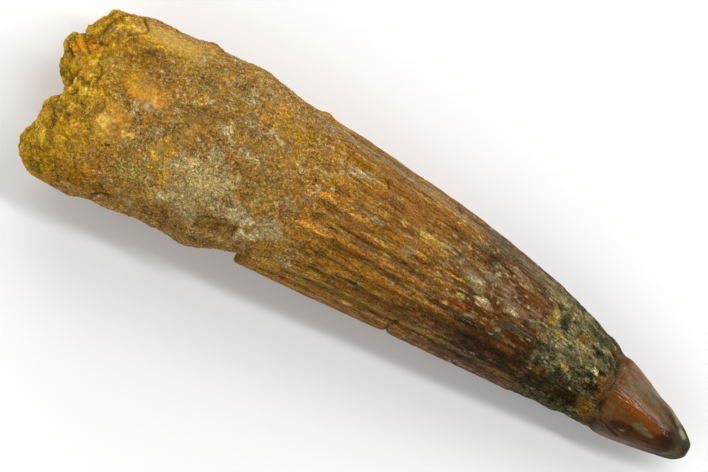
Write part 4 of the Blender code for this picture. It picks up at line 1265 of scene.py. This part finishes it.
@dataclass
class Painter:
    """Colours a skin's points: a ground along the tooth, stains, cracks, and painted light and
    shade from its relief.
    """

    skin: Skin
    ground: tuple[tuple[float, Pigment], ...]
    stains: tuple[Stain, ...]
    flecks: tuple[Fleck, ...]
    cracks: tuple[Crack, ...]
    tone: Triple
    seed: int = 11
    streaks_in: Place = (38.0, 44.0)
    streaks_out: Place = (72.0, 78.0)
    jitter: float = 0.07
    hidden_count: int = 90
    hidden_below: float = 9.0
    hidden_near: float = 6.0

    def shaken(self) -> Array:
        """The skin's points, moved by noise so that the stains' edges are ragged.

        Returns:
            The moved points.
        """
        points, flow = self.skin.skin.copy(), self.skin.flow()
        along = 1.2 * ripple(flow, np.array([0.5, 0.5, 3.4]), 40.0, 2)
        across = 0.16 * ripple(flow, np.array([0.9, 0.9, 3.0]), 50.0, 2)
        streaky = plateau(self.streaks_in, self.streaks_out, points[:, 0])
        points[:, 0] += streaky * along
        points[:, 1] += streaky * across
        near_end = 0.4 + 0.6 * (1 - ease(66.0, 76.0, points[:, 0]))
        for size, reach, seed in ((2.4, 0.7, 60.0), (0.8, 0.6, 90.0)):
            for axis in range(3):
                waver = ripple(self.skin.skin, size, seed + 3 * axis, 2)
                points[:, axis] += reach * near_end * (1 - 0.85 * streaky) * waver
        dice = np.random.default_rng(self.seed)
        return points + dice.normal(0.0, self.jitter, points.shape)

    def ground_colour(self) -> Array:
        """The colour under the stains, which changes along the tooth.

        Returns:
            The colour of each point.
        """
        places = [place for place, pigment in self.ground]
        colours = np.array([pigment.linear() for place, pigment in self.ground])
        waver = ripple(self.skin.flow(), np.array([1.5, 1.5, 8.0]), 70.0, 2)
        at = self.skin.u + np.where(self.skin.u > 74, 0.5, 2.0) * waver
        return np.stack([np.interp(at, places, colours[:, k]) for k in range(3)], axis=1)

    def hidden_side_stains(self) -> list[tuple[Array, Stain]]:
        """Stains for the sides that the photo doesn't show, in the same pigments.

        Returns:
            Pairs of a point to centre on and the stain that gives size and pigment.
        """
        dice = np.random.default_rng(self.seed + 1)
        low = np.flatnonzero(self.skin.skin[:, 2] < self.hidden_below)
        made = []
        for index in dice.choice(low, self.hidden_count):
            u = self.skin.u[index]
            near = [s for s in self.stains if abs(s.place[0] - u) < self.hidden_near]
            near = near or list(self.stains)
            made.append((self.skin.skin[index], near[dice.integers(len(near))]))
        return made

    def fray(self) -> Array:
        """A factor for each stain's strength, so that its body is patchy too."""
        return 0.97 + 0.5 * ripple(self.skin.skin, 1.0, 120.0, 3)

    @staticmethod
    def lay(colour: Array, mask: Array, pigment: Pigment) -> None:
        """Lays a pigment over the colours, as much as the mask says at each point."""
        colour += mask[:, None] * (pigment.linear() - colour)

    def colours(self, shade: Array) -> Array:
        """Paints the skin.

        Args:
            shade: How light each point is: 1 as the pigments are, less in the hollows.

        Returns:
            The colour of each point, as linear red, green and blue.
        """
        colour, points = self.ground_colour(), self.shaken()
        for centre, stain in self.hidden_side_stains():
            away = points - centre
            across = np.hypot(away[:, 1], away[:, 2]) / (1.2 * stain.size[1])
            reach = np.hypot(away[:, 0] / stain.size[0], across)
            mask = 0.8 * stain.strength * (1 - ease(*SOFT_EDGE, reach))
            mask *= 1 - ease(8.0, 13.0, points[:, 2])
            self.lay(colour, mask, stain.pigment)
        for fleck in self.flecks:
            self.lay(colour, fleck.mask(self.skin), fleck.pigment)
        fray = self.fray()
        for stain in self.stains:
            mask = (stain.mask(points, self.skin.form) * fray).clip(0.0, 1.0)
            self.lay(colour, mask, stain.pigment)
        for crack in self.cracks:
            self.lay(colour, 0.75 * crack.nearness(self.skin.smooth), P.PEAT)
        return (colour * shade[:, None] * np.array(self.tone)).clip(0.0, 1.0)


# Loose sand


@dataclass(frozen=True)
class SandGrains:
    """Grains of sand stuck in the crust, joined in one mesh."""

    name: str
    seed: int
    doublings: int = 13
    radius: Place = (0.07, 0.17)
    buried: float = 0.35
    odd_grains: tuple[tuple[float, Pigment], ...] = (
        (0.10, P.CHALK), (0.16, P.PALE_SAND), (0.22, P.RUST), (0.29, P.PEAT),
    )

    @property
    def count(self) -> int:
        """How many grains there are."""
        return 2**self.doublings

    def loose_balls(self) -> bpy.types.Mesh:
        """A mesh of balls of 20 faces, all in one place: one ball, doubled many times.

        Returns:
            The mesh.
        """
        ball = bmesh.new()
        bmesh.ops.create_icosphere(ball, subdivisions=1, radius=1.0)
        for _ in range(self.doublings):
            bmesh.ops.duplicate(ball, geom=[*ball.verts, *ball.edges, *ball.faces])
        mesh = bpy.data.meshes.new(self.name)
        ball.to_mesh(mesh)
        ball.free()
        return mesh

    def scatter(self, skin: Skin, colours: Array, density: Array) -> tuple[Array, ...]:
        """Picks places on a skin at random.

        Args:
            skin: The skin that the grains are stuck in.
            colours: The skin's painted colours.
            density: How thickly they lie at each of the skin's points.

        Returns:
            The grains' places, their normals and the skin's colour there.
        """
        dice = np.random.default_rng(self.seed)
        skin.mesh.calc_loop_triangles()
        corners = read_threes(skin.mesh.loop_triangles, "vertices", np.int32)
        a, b, c = (skin.skin[corners[:, k]] for k in range(3))
        cross = np.cross(b - a, c - a)
        weight = np.linalg.norm(cross, axis=1) * density[corners].mean(axis=1)
        chosen = dice.choice(len(corners), self.count, p=weight / weight.sum())
        r, s = np.sqrt(dice.random(self.count)), dice.random(self.count)
        places = (1 - r)[:, None] * a[chosen] + (r * (1 - s))[:, None] * b[chosen]
        places += (r * s)[:, None] * c[chosen]
        lengths = np.linalg.norm(cross[chosen], axis=1, keepdims=True)
        return places, cross[chosen] / lengths, colours[corners[chosen, 0]]

    def tints(self, ground: Array, dice: np.random.Generator) -> Array:
        """Each grain's colour: mostly the crust's own, some clear quartz, some rust.

        Args:
            ground: The crust's colour under each grain.
            dice: The source of chance.

        Returns:
            The colour of each grain.
        """
        light = dice.normal(1.0, 0.28, (self.count, 1)).clip(0.35, 1.9)
        colour = ground * light
        kind = dice.random(self.count)
        for share, pigment in self.odd_grains:
            pick = (kind < share)[:, None] * (kind >= share - 0.08)[:, None]
            colour = np.where(pick, 0.55 * pigment.linear() + 0.45 * colour, colour)
        return colour.clip(0.0, 1.0)

    def build(
        self, skin: Skin, colours: Array, density: Array, frame: CadFrame
    ) -> bpy.types.Object:
        """Makes the grains' mesh and object.

        Args:
            skin: The skin that the grains are stuck in.
            colours: The skin's painted colours.
            density: How thickly they lie at each of the skin's points.
            frame: The way to the frame's metres.

        Returns:
            The grains' object.
        """
        dice = np.random.default_rng(self.seed + 100)
        mesh = self.loose_balls()
        places, outward, ground = self.scatter(skin, colours, density)
        low, high = self.radius
        size = low + (high - low) * dice.random(self.count) ** 2
        stretch = dice.uniform(0.7, 1.25, (self.count, 1, 3)) * size[:, None, None]
        turn = np.linalg.qr(dice.normal(size=(self.count, 3, 3)))[0]
        turn *= np.sign(np.linalg.det(turn))[:, None, None]
        balls = read_points(mesh).reshape(self.count, -1, 3)
        grains = np.einsum("nkj,nij->nki", balls * stretch, turn)
        centres = places - outward * (self.buried * size)[:, None]
        points = (grains + centres[:, None]).reshape(-1, 3)
        points[:, 2] = np.maximum(points[:, 2], 0.0)
        write_points(mesh, frame.to_metres(points))
        corners = balls.shape[1]
        write_attribute(mesh, "paint", np.repeat(self.tints(ground, dice), corners, axis=0))
        write_attribute(mesh, "luck", np.repeat(dice.random(self.count), corners))
        return hang_mesh(mesh)


# Materials


class Signal:
    """One output of a shader node, which can be added, multiplied and so on."""

    def __init__(self, board: Board, socket: bpy.types.NodeSocket) -> None:
        """Keeps the socket and the board that its next nodes go on."""
        self.board = board
        self.socket = socket

    def _math(self, operation: str, *values: Any) -> Signal:
        """A Math node on these values."""
        inputs = dict(enumerate(values))
        return self.board.node("ShaderNodeMath", {"operation": operation}, inputs)

    def __add__(self, other: Any) -> Signal:
        """The sum."""
        return self._math("ADD", self, other)

    def __radd__(self, other: Any) -> Signal:
        """The sum, from the right."""
        return self._math("ADD", other, self)

    def __sub__(self, other: Any) -> Signal:
        """The difference."""
        return self._math("SUBTRACT", self, other)

    def __rsub__(self, other: Any) -> Signal:
        """The difference, from the right."""
        return self._math("SUBTRACT", other, self)

    def __mul__(self, other: Any) -> Signal:
        """The product."""
        return self._math("MULTIPLY", self, other)

    def __rmul__(self, other: Any) -> Signal:
        """The product, from the right."""
        return self._math("MULTIPLY", other, self)

    def __gt__(self, other: Any) -> Signal:
        """1 where this is the greater, else 0."""
        return self._math("GREATER_THAN", self, other)

    def step(self, start: float, end: float) -> Signal:
        """0 at start, 1 at end, and a smooth step between them."""
        settings = {"interpolation_type": "SMOOTHSTEP"}
        return self.board.node(
            "ShaderNodeMapRange", settings, {"Value": self, "From Min": start, "From Max": end}
        )


class Board:
    """A material's node tree."""

    def __init__(self, name: str) -> None:
        """Makes a material with an empty Principled surface.

        Args:
            name: The material's name.
        """
        self.material = bpy.data.materials.new(name)
        self.material.use_nodes = True
        self.tree = self.material.node_tree
        self.surface = self.tree.nodes["Principled BSDF"]

    def node(
        self,
        kind: str,
        settings: dict[str, Any] | None = None,
        inputs: dict[Any, Any] | None = None,
        output: int | str = 0,
    ) -> Signal:
        """Adds a node.

        Args:
            kind: The node's type.
            settings: Its own settings, such as a Math node's operation.
            inputs: A value or a Signal for each socket, by name or number.
            output: The output that is wanted.

        Returns:
            That output.
        """
        made = self.tree.nodes.new(kind)
        for key, value in (settings or {}).items():
            setattr(made, key, value)
        for key, value in (inputs or {}).items():
            self.feed(made.inputs[key], value)
        return Signal(self, made.outputs[output])

    def feed(self, socket: bpy.types.NodeSocket, value: Any) -> None:
        """Links a Signal to a socket, or sets a plain value on it."""
        if isinstance(value, Signal):
            self.tree.links.new(value.socket, socket)
        elif socket.type == "RGBA" and len(value) == 3:
            socket.default_value = (*value, 1.0)
        else:
            socket.default_value = value

    def attribute(self, name: str, output: str = "Fac") -> Signal:
        """A value painted on the mesh."""
        return self.node("ShaderNodeAttribute", {"attribute_name": name}, output=output)

    def scaled(self, vector: Signal, scale: Triple) -> Signal:
        """A vector with each axis multiplied."""
        return self.node(
            "ShaderNodeVectorMath", {"operation": "MULTIPLY"}, {0: vector, 1: scale}
        )

    def millimetres(self) -> Signal:
        """The piece's own coordinates, in millimetres."""
        place = self.node("ShaderNodeTexCoord", output="Object")
        return self.scaled(place, (1 / MM,) * 3)

    def absolute(self, value: Signal) -> Signal:
        """The value without its sign."""
        return self.node("ShaderNodeMath", {"operation": "ABSOLUTE"}, {0: value})

    def noise(
        self, vector: Signal, scale: float, detail: float = 2.0, roughness: float = 0.5
    ) -> Signal:
        """Noise from 0 to 1, mostly near 0.5: scale is in lumps for each unit of vector."""
        sockets = {"Vector": vector, "Scale": scale, "Detail": detail, "Roughness": roughness}
        return self.node("ShaderNodeTexNoise", {}, sockets)

    def cells(self, vector: Signal, scale: float, output: str = "Distance") -> Signal:
        """Packed cells: the distance to their middles, or a random colour for each."""
        return self.node(
            "ShaderNodeTexVoronoi", {}, {"Vector": vector, "Scale": scale}, output=output
        )

    def channel(self, colour: Signal, which: str) -> Signal:
        """One channel of a colour."""
        return self.node("ShaderNodeSeparateColor", {}, {0: colour}, output=which)

    def mix(self, share: Any, low: Any, high: Any, blend: str = "MIX") -> Signal:
        """Two colours, mixed or overlaid by a share."""
        settings = {"data_type": "RGBA", "blend_type": blend, "clamp_factor": True}
        return self.node("ShaderNodeMix", settings, {0: share, 6: low, 7: high}, output=2)

    def lit(self, colour: Signal, light: Signal) -> Signal:
        """A colour made lighter or darker by a factor."""
        return self.node(
            "ShaderNodeVectorMath", {"operation": "SCALE"}, {0: colour, "Scale": light}
        )

    def bump(self, height: Signal, distance: float) -> Signal:
        """A normal from a height between 0 and 1, over a distance in metres."""
        sockets = {"Strength": 1.0, "Distance": distance, "Height": height}
        return self.node("ShaderNodeBump", {}, sockets)

    def dress(self, **sockets: Any) -> bpy.types.Material:
        """Feeds the surface's sockets, named with underscores for spaces."""
        for name, value in sockets.items():
            self.feed(self.surface.inputs[name.replace("_", " ")], value)
        return self.material


@dataclass(frozen=True)
class SandCrustFinish:
    """Cemented sand: dull, speckled grain by grain, with its pores and the gaps between its
    grains darkened as painted shade.
    """

    grain: float = 3.0  # grains in a millimetre
    contrast: float = 0.55
    pit_shade: Pigment = P.PEAT

    def material(self) -> bpy.types.Material:
        """Builds the node tree.

        Returns:
            The material.
        """
        board = Board("sand crust")
        place = board.millimetres()
        paint = board.attribute("paint", "Color")
        grit = board.attribute("grit")
        grain = board.cells(place, self.grain)
        luck = board.channel(board.cells(place, self.grain, "Color"), "Red")
        rough = board.noise(place, 1.9, 7.0, 0.72).step(0.30, 0.70)
        fine = board.noise(place, 3.6, 4.0, 0.7).step(0.30, 0.70)
        light = 1.0 + (luck - 0.5) * self.contrast * grit
        # painted light and shade: lighter where the bump's lumps stand high, darker where they
        # are low
        light = light * ((rough - 0.5) * (0.45 + grit * 0.75) + 1.05)
        light = light * ((fine - 0.5) * (0.35 + grit * 0.85) + 1.05)
        # a few grains sparkle: less rough, and painted lighter too, a painted glint
        sparkle = (luck > 0.94) * grit
        colour = board.lit(paint, light + sparkle * 0.5)
        hue = board.cells(place, self.grain * 0.8, "Color")
        colour = board.mix(grit * 0.08, colour, hue, "OVERLAY")
        # painted shade: darker pores, and darker gaps between the grains where the bump is low
        pores = board.noise(place, 2.7, 5.0, 0.65).step(0.44, 0.33) * grit
        gap_shade = grain.step(0.40, 0.62) * grit
        colour = board.mix(pores * 0.6 + gap_shade * 0.2, colour, tuple(self.pit_shade.linear()))
        height = rough * 0.5 + (1.0 - grain) * 0.35 + fine * 0.3
        return board.dress(
            Base_Color=colour,
            Roughness=0.85 - sparkle * 0.5,
            Normal=board.bump(height * (0.35 + grit * 0.65), 0.30 * MM),
            **DULL_SHINE,
        )


@dataclass(frozen=True)
class EnamelFinish:
    """Brown enamel with fine lengthwise wrinkles, glossy where it isn't worn or dusty, with
    painted light and shade on its fine relief.
    """

    furrow_shade: Pigment = P.PEAT
    speck: Pigment = P.PALE_SAND

    def material(self) -> bpy.types.Material:
        """Builds the node tree.

        Returns:
            The material.
        """
        board = Board("enamel")
        place = board.millimetres()
        flow = board.attribute("flow", "Vector")
        paint = board.attribute("paint", "Color")
        wear = board.attribute("wear")
        tip = board.attribute("gloss")
        plain = 1.0 - tip * 0.50
        strands = board.scaled(flow, (1.0, 1.0, 0.07))
        waves = board.noise(strands, 2.0, 3.0, 0.6)
        ridge = 1.0 - board.absolute(waves - 0.5).step(0.0, 0.10)
        threads = board.noise(strands, 3.2, 5.0, 0.75).step(0.28, 0.72)
        rough = board.noise(place, 2.6, 6.0, 0.75).step(0.30, 0.70)
        fine = board.noise(place, 4.0, 3.0, 0.7).step(0.30, 0.70)
        # lighter where the bump's threads, lumps and fine grain stand high, darker where they
        # are low: partly the enamel's own streaks, partly painted light and shade
        light = 1.0 + (threads - 0.5) * plain * 0.85
        light = light * ((rough - 0.5) * plain * (0.50 + wear * 0.70) + 1.03)
        light = light * ((fine - 0.5) * plain * (0.80 + wear * 0.60) + 1.03)
        # painted highlight along the ridge lines of the bump
        light = light + ridge * plain * 0.25
        colour = board.lit(paint, light)
        specks = board.noise(place, 6.0, 3.0).step(0.66, 0.72) * (0.35 + wear * 0.4) * plain
        colour = board.mix(specks, colour, tuple(self.speck.linear()))
        # painted shade: the furrows' colour where the threads and lumps are low
        dark = (threads * 0.6 + rough * 0.4).step(0.34, 0.16) * plain
        colour = board.mix(dark * 0.5, colour, tuple(self.furrow_shade.linear()))
        height = ridge * 0.25 + threads * 0.35 + rough * 0.45 + fine * 0.2
        return board.dress(
            Base_Color=colour,
            Roughness=0.34 + wear * 0.36 + (rough - 0.5) * 0.25,
            Normal=board.bump(height * plain, 0.26 * MM),
            Coat_Weight=(1.0 - wear) * 0.14 + tip * 0.24,
            Coat_Roughness=0.11,
            **DULL_SHINE,
        )


@dataclass(frozen=True)
class GrainFinish:
    """Single grains of sand: each its own colour, some of them shiny."""

    def material(self) -> bpy.types.Material:
        """Builds the node tree.

        Returns:
            The material.
        """
        board = Board("sand grains")
        paint = board.attribute("paint", "Color")
        luck = board.attribute("luck")
        fine = board.noise(board.millimetres(), 9.0, 2.0)
        return board.dress(
            Base_Color=board.lit(paint, 0.75 + fine * 0.5),
            Roughness=0.8 - (luck > 0.72) * 0.5,
            Specular_IOR_Level=0.30,
        )


# The studio


@dataclass(frozen=True)
class Studio:
    """A pale floor, soft lights and the photograph's view, straight down."""

    view_centre: Place = (48.9, -0.14)  # the tooth's own measure
    view_width: float = 99.1
    outline_height: float = 9.5
    camera_distance: float = 1000.0
    turn: float = 29.6
    sensor: float = 36.0
    floor_size: float = 3.0
    floor_shade: float = 0.93
    room: float = 0.26
    lamps: tuple[tuple[str, Triple, Place, float], ...] = (
        ("soft_box", (-0.42, 0.72, 0.46), (0.60, 0.60), 3.7),
        ("overhead", (0.40, 0.72, 0.62), (0.80, 0.50), 2.8),
        ("strip", (0.40, 0.36, 0.84), (0.90, 0.08), 4.2),
        ("fill", (-0.35, -0.85, 0.65), (1.60, 1.60), 6.4),
        ("end_light", (-0.90, 0.10, 0.50), (0.50, 0.70), 1.6),
    )

    def lay_floor(self) -> None:
        """Lays the floor."""
        shape = bmesh.new()
        half = self.floor_size / 2
        bmesh.ops.create_grid(shape, x_segments=1, y_segments=1, size=half)
        mesh = bpy.data.meshes.new("floor")
        shape.to_mesh(mesh)
        shape.free()
        floor = hang("floor", mesh)
        board = Board("pale floor")
        mesh.materials.append(board.dress(Base_Color=(self.floor_shade,) * 3, Roughness=0.8))

    def hang_light(
        self, name: str, place: Triple, size: Place, watts: float
    ) -> None:
        """Hangs a soft light that faces the tooth, its first side along the tooth.

        Args:
            name: The light's name.
            place: Where it hangs, in metres.
            size: Its sides, in metres.
            watts: Its power.
        """
        lamp = bpy.data.lights.new(name, "AREA")
        lamp.shape = "RECTANGLE"
        lamp.size, lamp.size_y = size
        lamp.energy = watts
        light = hang(name, lamp)
        light.location = place
        outward = Vector(place).normalized()
        across = outward.cross(Vector((1.0, 0.0, 0.0))).normalized()
        turn = Matrix((across.cross(outward), across, outward)).transposed()
        light.rotation_euler = turn.to_euler()

    def light(self) -> None:
        """A large soft box towards the convex edge, smaller lamps, and a pale room."""
        for name, place, size, watts in self.lamps:
            self.hang_light(name, place, size, watts)
        world = bpy.data.worlds.new("pale room")
        world.use_nodes = True
        backdrop = world.node_tree.nodes["Background"]
        backdrop.inputs["Color"].default_value = (1.0, 1.0, 1.0, 1.0)
        backdrop.inputs["Strength"].default_value = self.room
        bpy.context.scene.world = world
        bpy.context.scene.view_settings.view_transform = "Standard"

    def stand_camera(self, frame: CadFrame) -> None:
        """Puts the camera straight above the tooth, turned as the photograph is.

        Args:
            frame: The way to the frame's metres.
        """
        camera = bpy.data.cameras.new("camera")
        camera.sensor_width = self.sensor
        camera.lens = self.sensor * self.camera_distance / self.view_width
        camera.clip_start = 0.01
        stand = hang("camera", camera)
        across = self.view_centre[0] - frame.origin[0], self.view_centre[1] - frame.origin[1]
        stand.location = Vector((*across, self.outline_height + self.camera_distance)) * MM
        stand.rotation_euler = (0.0, 0.0, math.radians(self.turn))
        bpy.context.scene.camera = stand


# Putting it together

ROOT_TONE = (1.22, 1.20, 0.94)
CROWN_TONE = (1.08, 1.04, 0.74)
DUSTY_SPAN: Place = (38.0, 50.0)
GLOSSY_FROM: Place = (90.8, 92.2)
CHIPPED_FROM: Place = (101.5, 103.5)
SAND_MESHES = 3
FIRST_SAND_SEED = 21


def adopt(piece: bpy.types.Object, material: bpy.types.Material) -> None:
    """Gives a piece its material and its place in the frame's table.

    Args:
        piece: The piece.
        material: Its material.
    """
    piece.data.materials.append(material)
    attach(piece, BODY)
    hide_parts(NODE)
    LOG.info("%s: %d faces", piece.name, len(piece.data.polygons))


def relief_shade(relief: Array, depth: float, reach: float | Array) -> Array:
    """Lightens crests and darkens hollows: painted light and shade that follow the relief.

    Args:
        relief: The fine relief's height at each point.
        depth: The relief's usual height, in millimetres.
        reach: How much lighter or darker it makes the colour.

    Returns:
        The factor for each point's colour.
    """
    return 1 + reach * np.clip(relief / depth, -1.0, 0.8)


def build_root(form: ToothForm, frame: CadFrame) -> None:
    """Builds the crusted root and the sand grains on it.

    Args:
        form: The tooth's form.
        frame: The way to the frame's metres.
    """
    root = RootSkin(form)
    root.shape_skin()
    # painted light and shade: the crumbs' crests lighter, their hollows and the gaps between
    # lumps darker
    shade = relief_shade(root.crumb, 0.25, 0.26) * (1 - 0.38 * root.gap_shade.clip(0.0, 1.0))
    painter = Painter(root, ROOT_GROUND, ROOT_STAINS, ROOT_FLECKS, ROOT_CRACKS, ROOT_TONE)
    colours = painter.colours(shade)
    grit = 1 - 0.8 * root.smoothness()
    grit = grit * (0.8 + 0.5 * ripple(root.skin, 3.0, 80.0, 2)).clip(0.3, 1.2)
    grit = grit * (0.62 + 0.38 * ease(5.0, 12.0, root.u))
    density = ease(-0.5, 5.0, root.edge_distance()) * grit**2 * (root.share > 0.99)
    for number in range(SAND_MESHES):
        sand = SandGrains(f"sand_grains_{number + 1}", FIRST_SAND_SEED + number)
        adopt(sand.build(root, colours, density, frame), GrainFinish().material())
    piece = root.finish_mesh(frame)
    write_attribute(root.mesh, "paint", colours)
    write_attribute(root.mesh, "grit", grit.clip(0.0, 1.0))
    adopt(piece, SandCrustFinish().material())


def build_crown(form: ToothForm, frame: CadFrame) -> None:
    """Builds the enamel crown.

    Args:
        form: The tooth's form.
        frame: The way to the frame's metres.
    """
    crown = CrownSkin(form)
    crown.shape_skin()
    u = crown.u
    # painted light and shade: the wrinkles' and flutes' crests lighter, their hollows and
    # grooves darker, less on the worn side
    flute_shade_mask = plateau((40.0, 46.0), (72.0, 78.0), u) * (1 - 0.8 * crown.worn_side())
    shade = relief_shade(crown.wrinkle, 0.12, 0.30 + 0.15 * crown.collar()) * (
        1.0 + 0.35 * (0.5 - crown.flute_wave()) * flute_shade_mask
    )
    # the tip's colour is made darker as a whole
    shade = shade * (1.0 - 0.20 * ease(90.8, 92.0, u))
    painter = Painter(
        crown, CROWN_GROUND, CROWN_STAINS, CROWN_FLECKS, CROWN_CRACKS, CROWN_TONE
    )
    colours = painter.colours(shade)
    dusty = 1 - ease(*DUSTY_SPAN, u)
    tip = ease(*GLOSSY_FROM, u)
    wear = (0.40 + 0.6 * np.maximum(crown.collar(), dusty)) * (1 - 0.8 * tip)
    waver = 0.25 * ripple(crown.skin, 2.2, 55.0, 2)
    flow = crown.flow() + waver[:, None] * np.array([1.0, -1.0, 0.0])
    piece = crown.finish_mesh(frame)
    write_attribute(crown.mesh, "paint", colours)
    write_attribute(crown.mesh, "flow", flow)
    write_attribute(crown.mesh, "wear", wear)
    write_attribute(crown.mesh, "gloss", tip * (1 - 0.6 * ease(*CHIPPED_FROM, u)))
    adopt(piece, EnamelFinish().material())


def main() -> None:
    logging.basicConfig(level=logging.INFO, format="%(message)s")
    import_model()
    form, frame = ToothForm(), CadFrame()
    build_root(form, frame)
    build_crown(form, frame)
    studio = Studio()
    studio.lay_floor()
    studio.light()
    studio.stand_camera(frame)


if __name__ == "__main__":
    main()
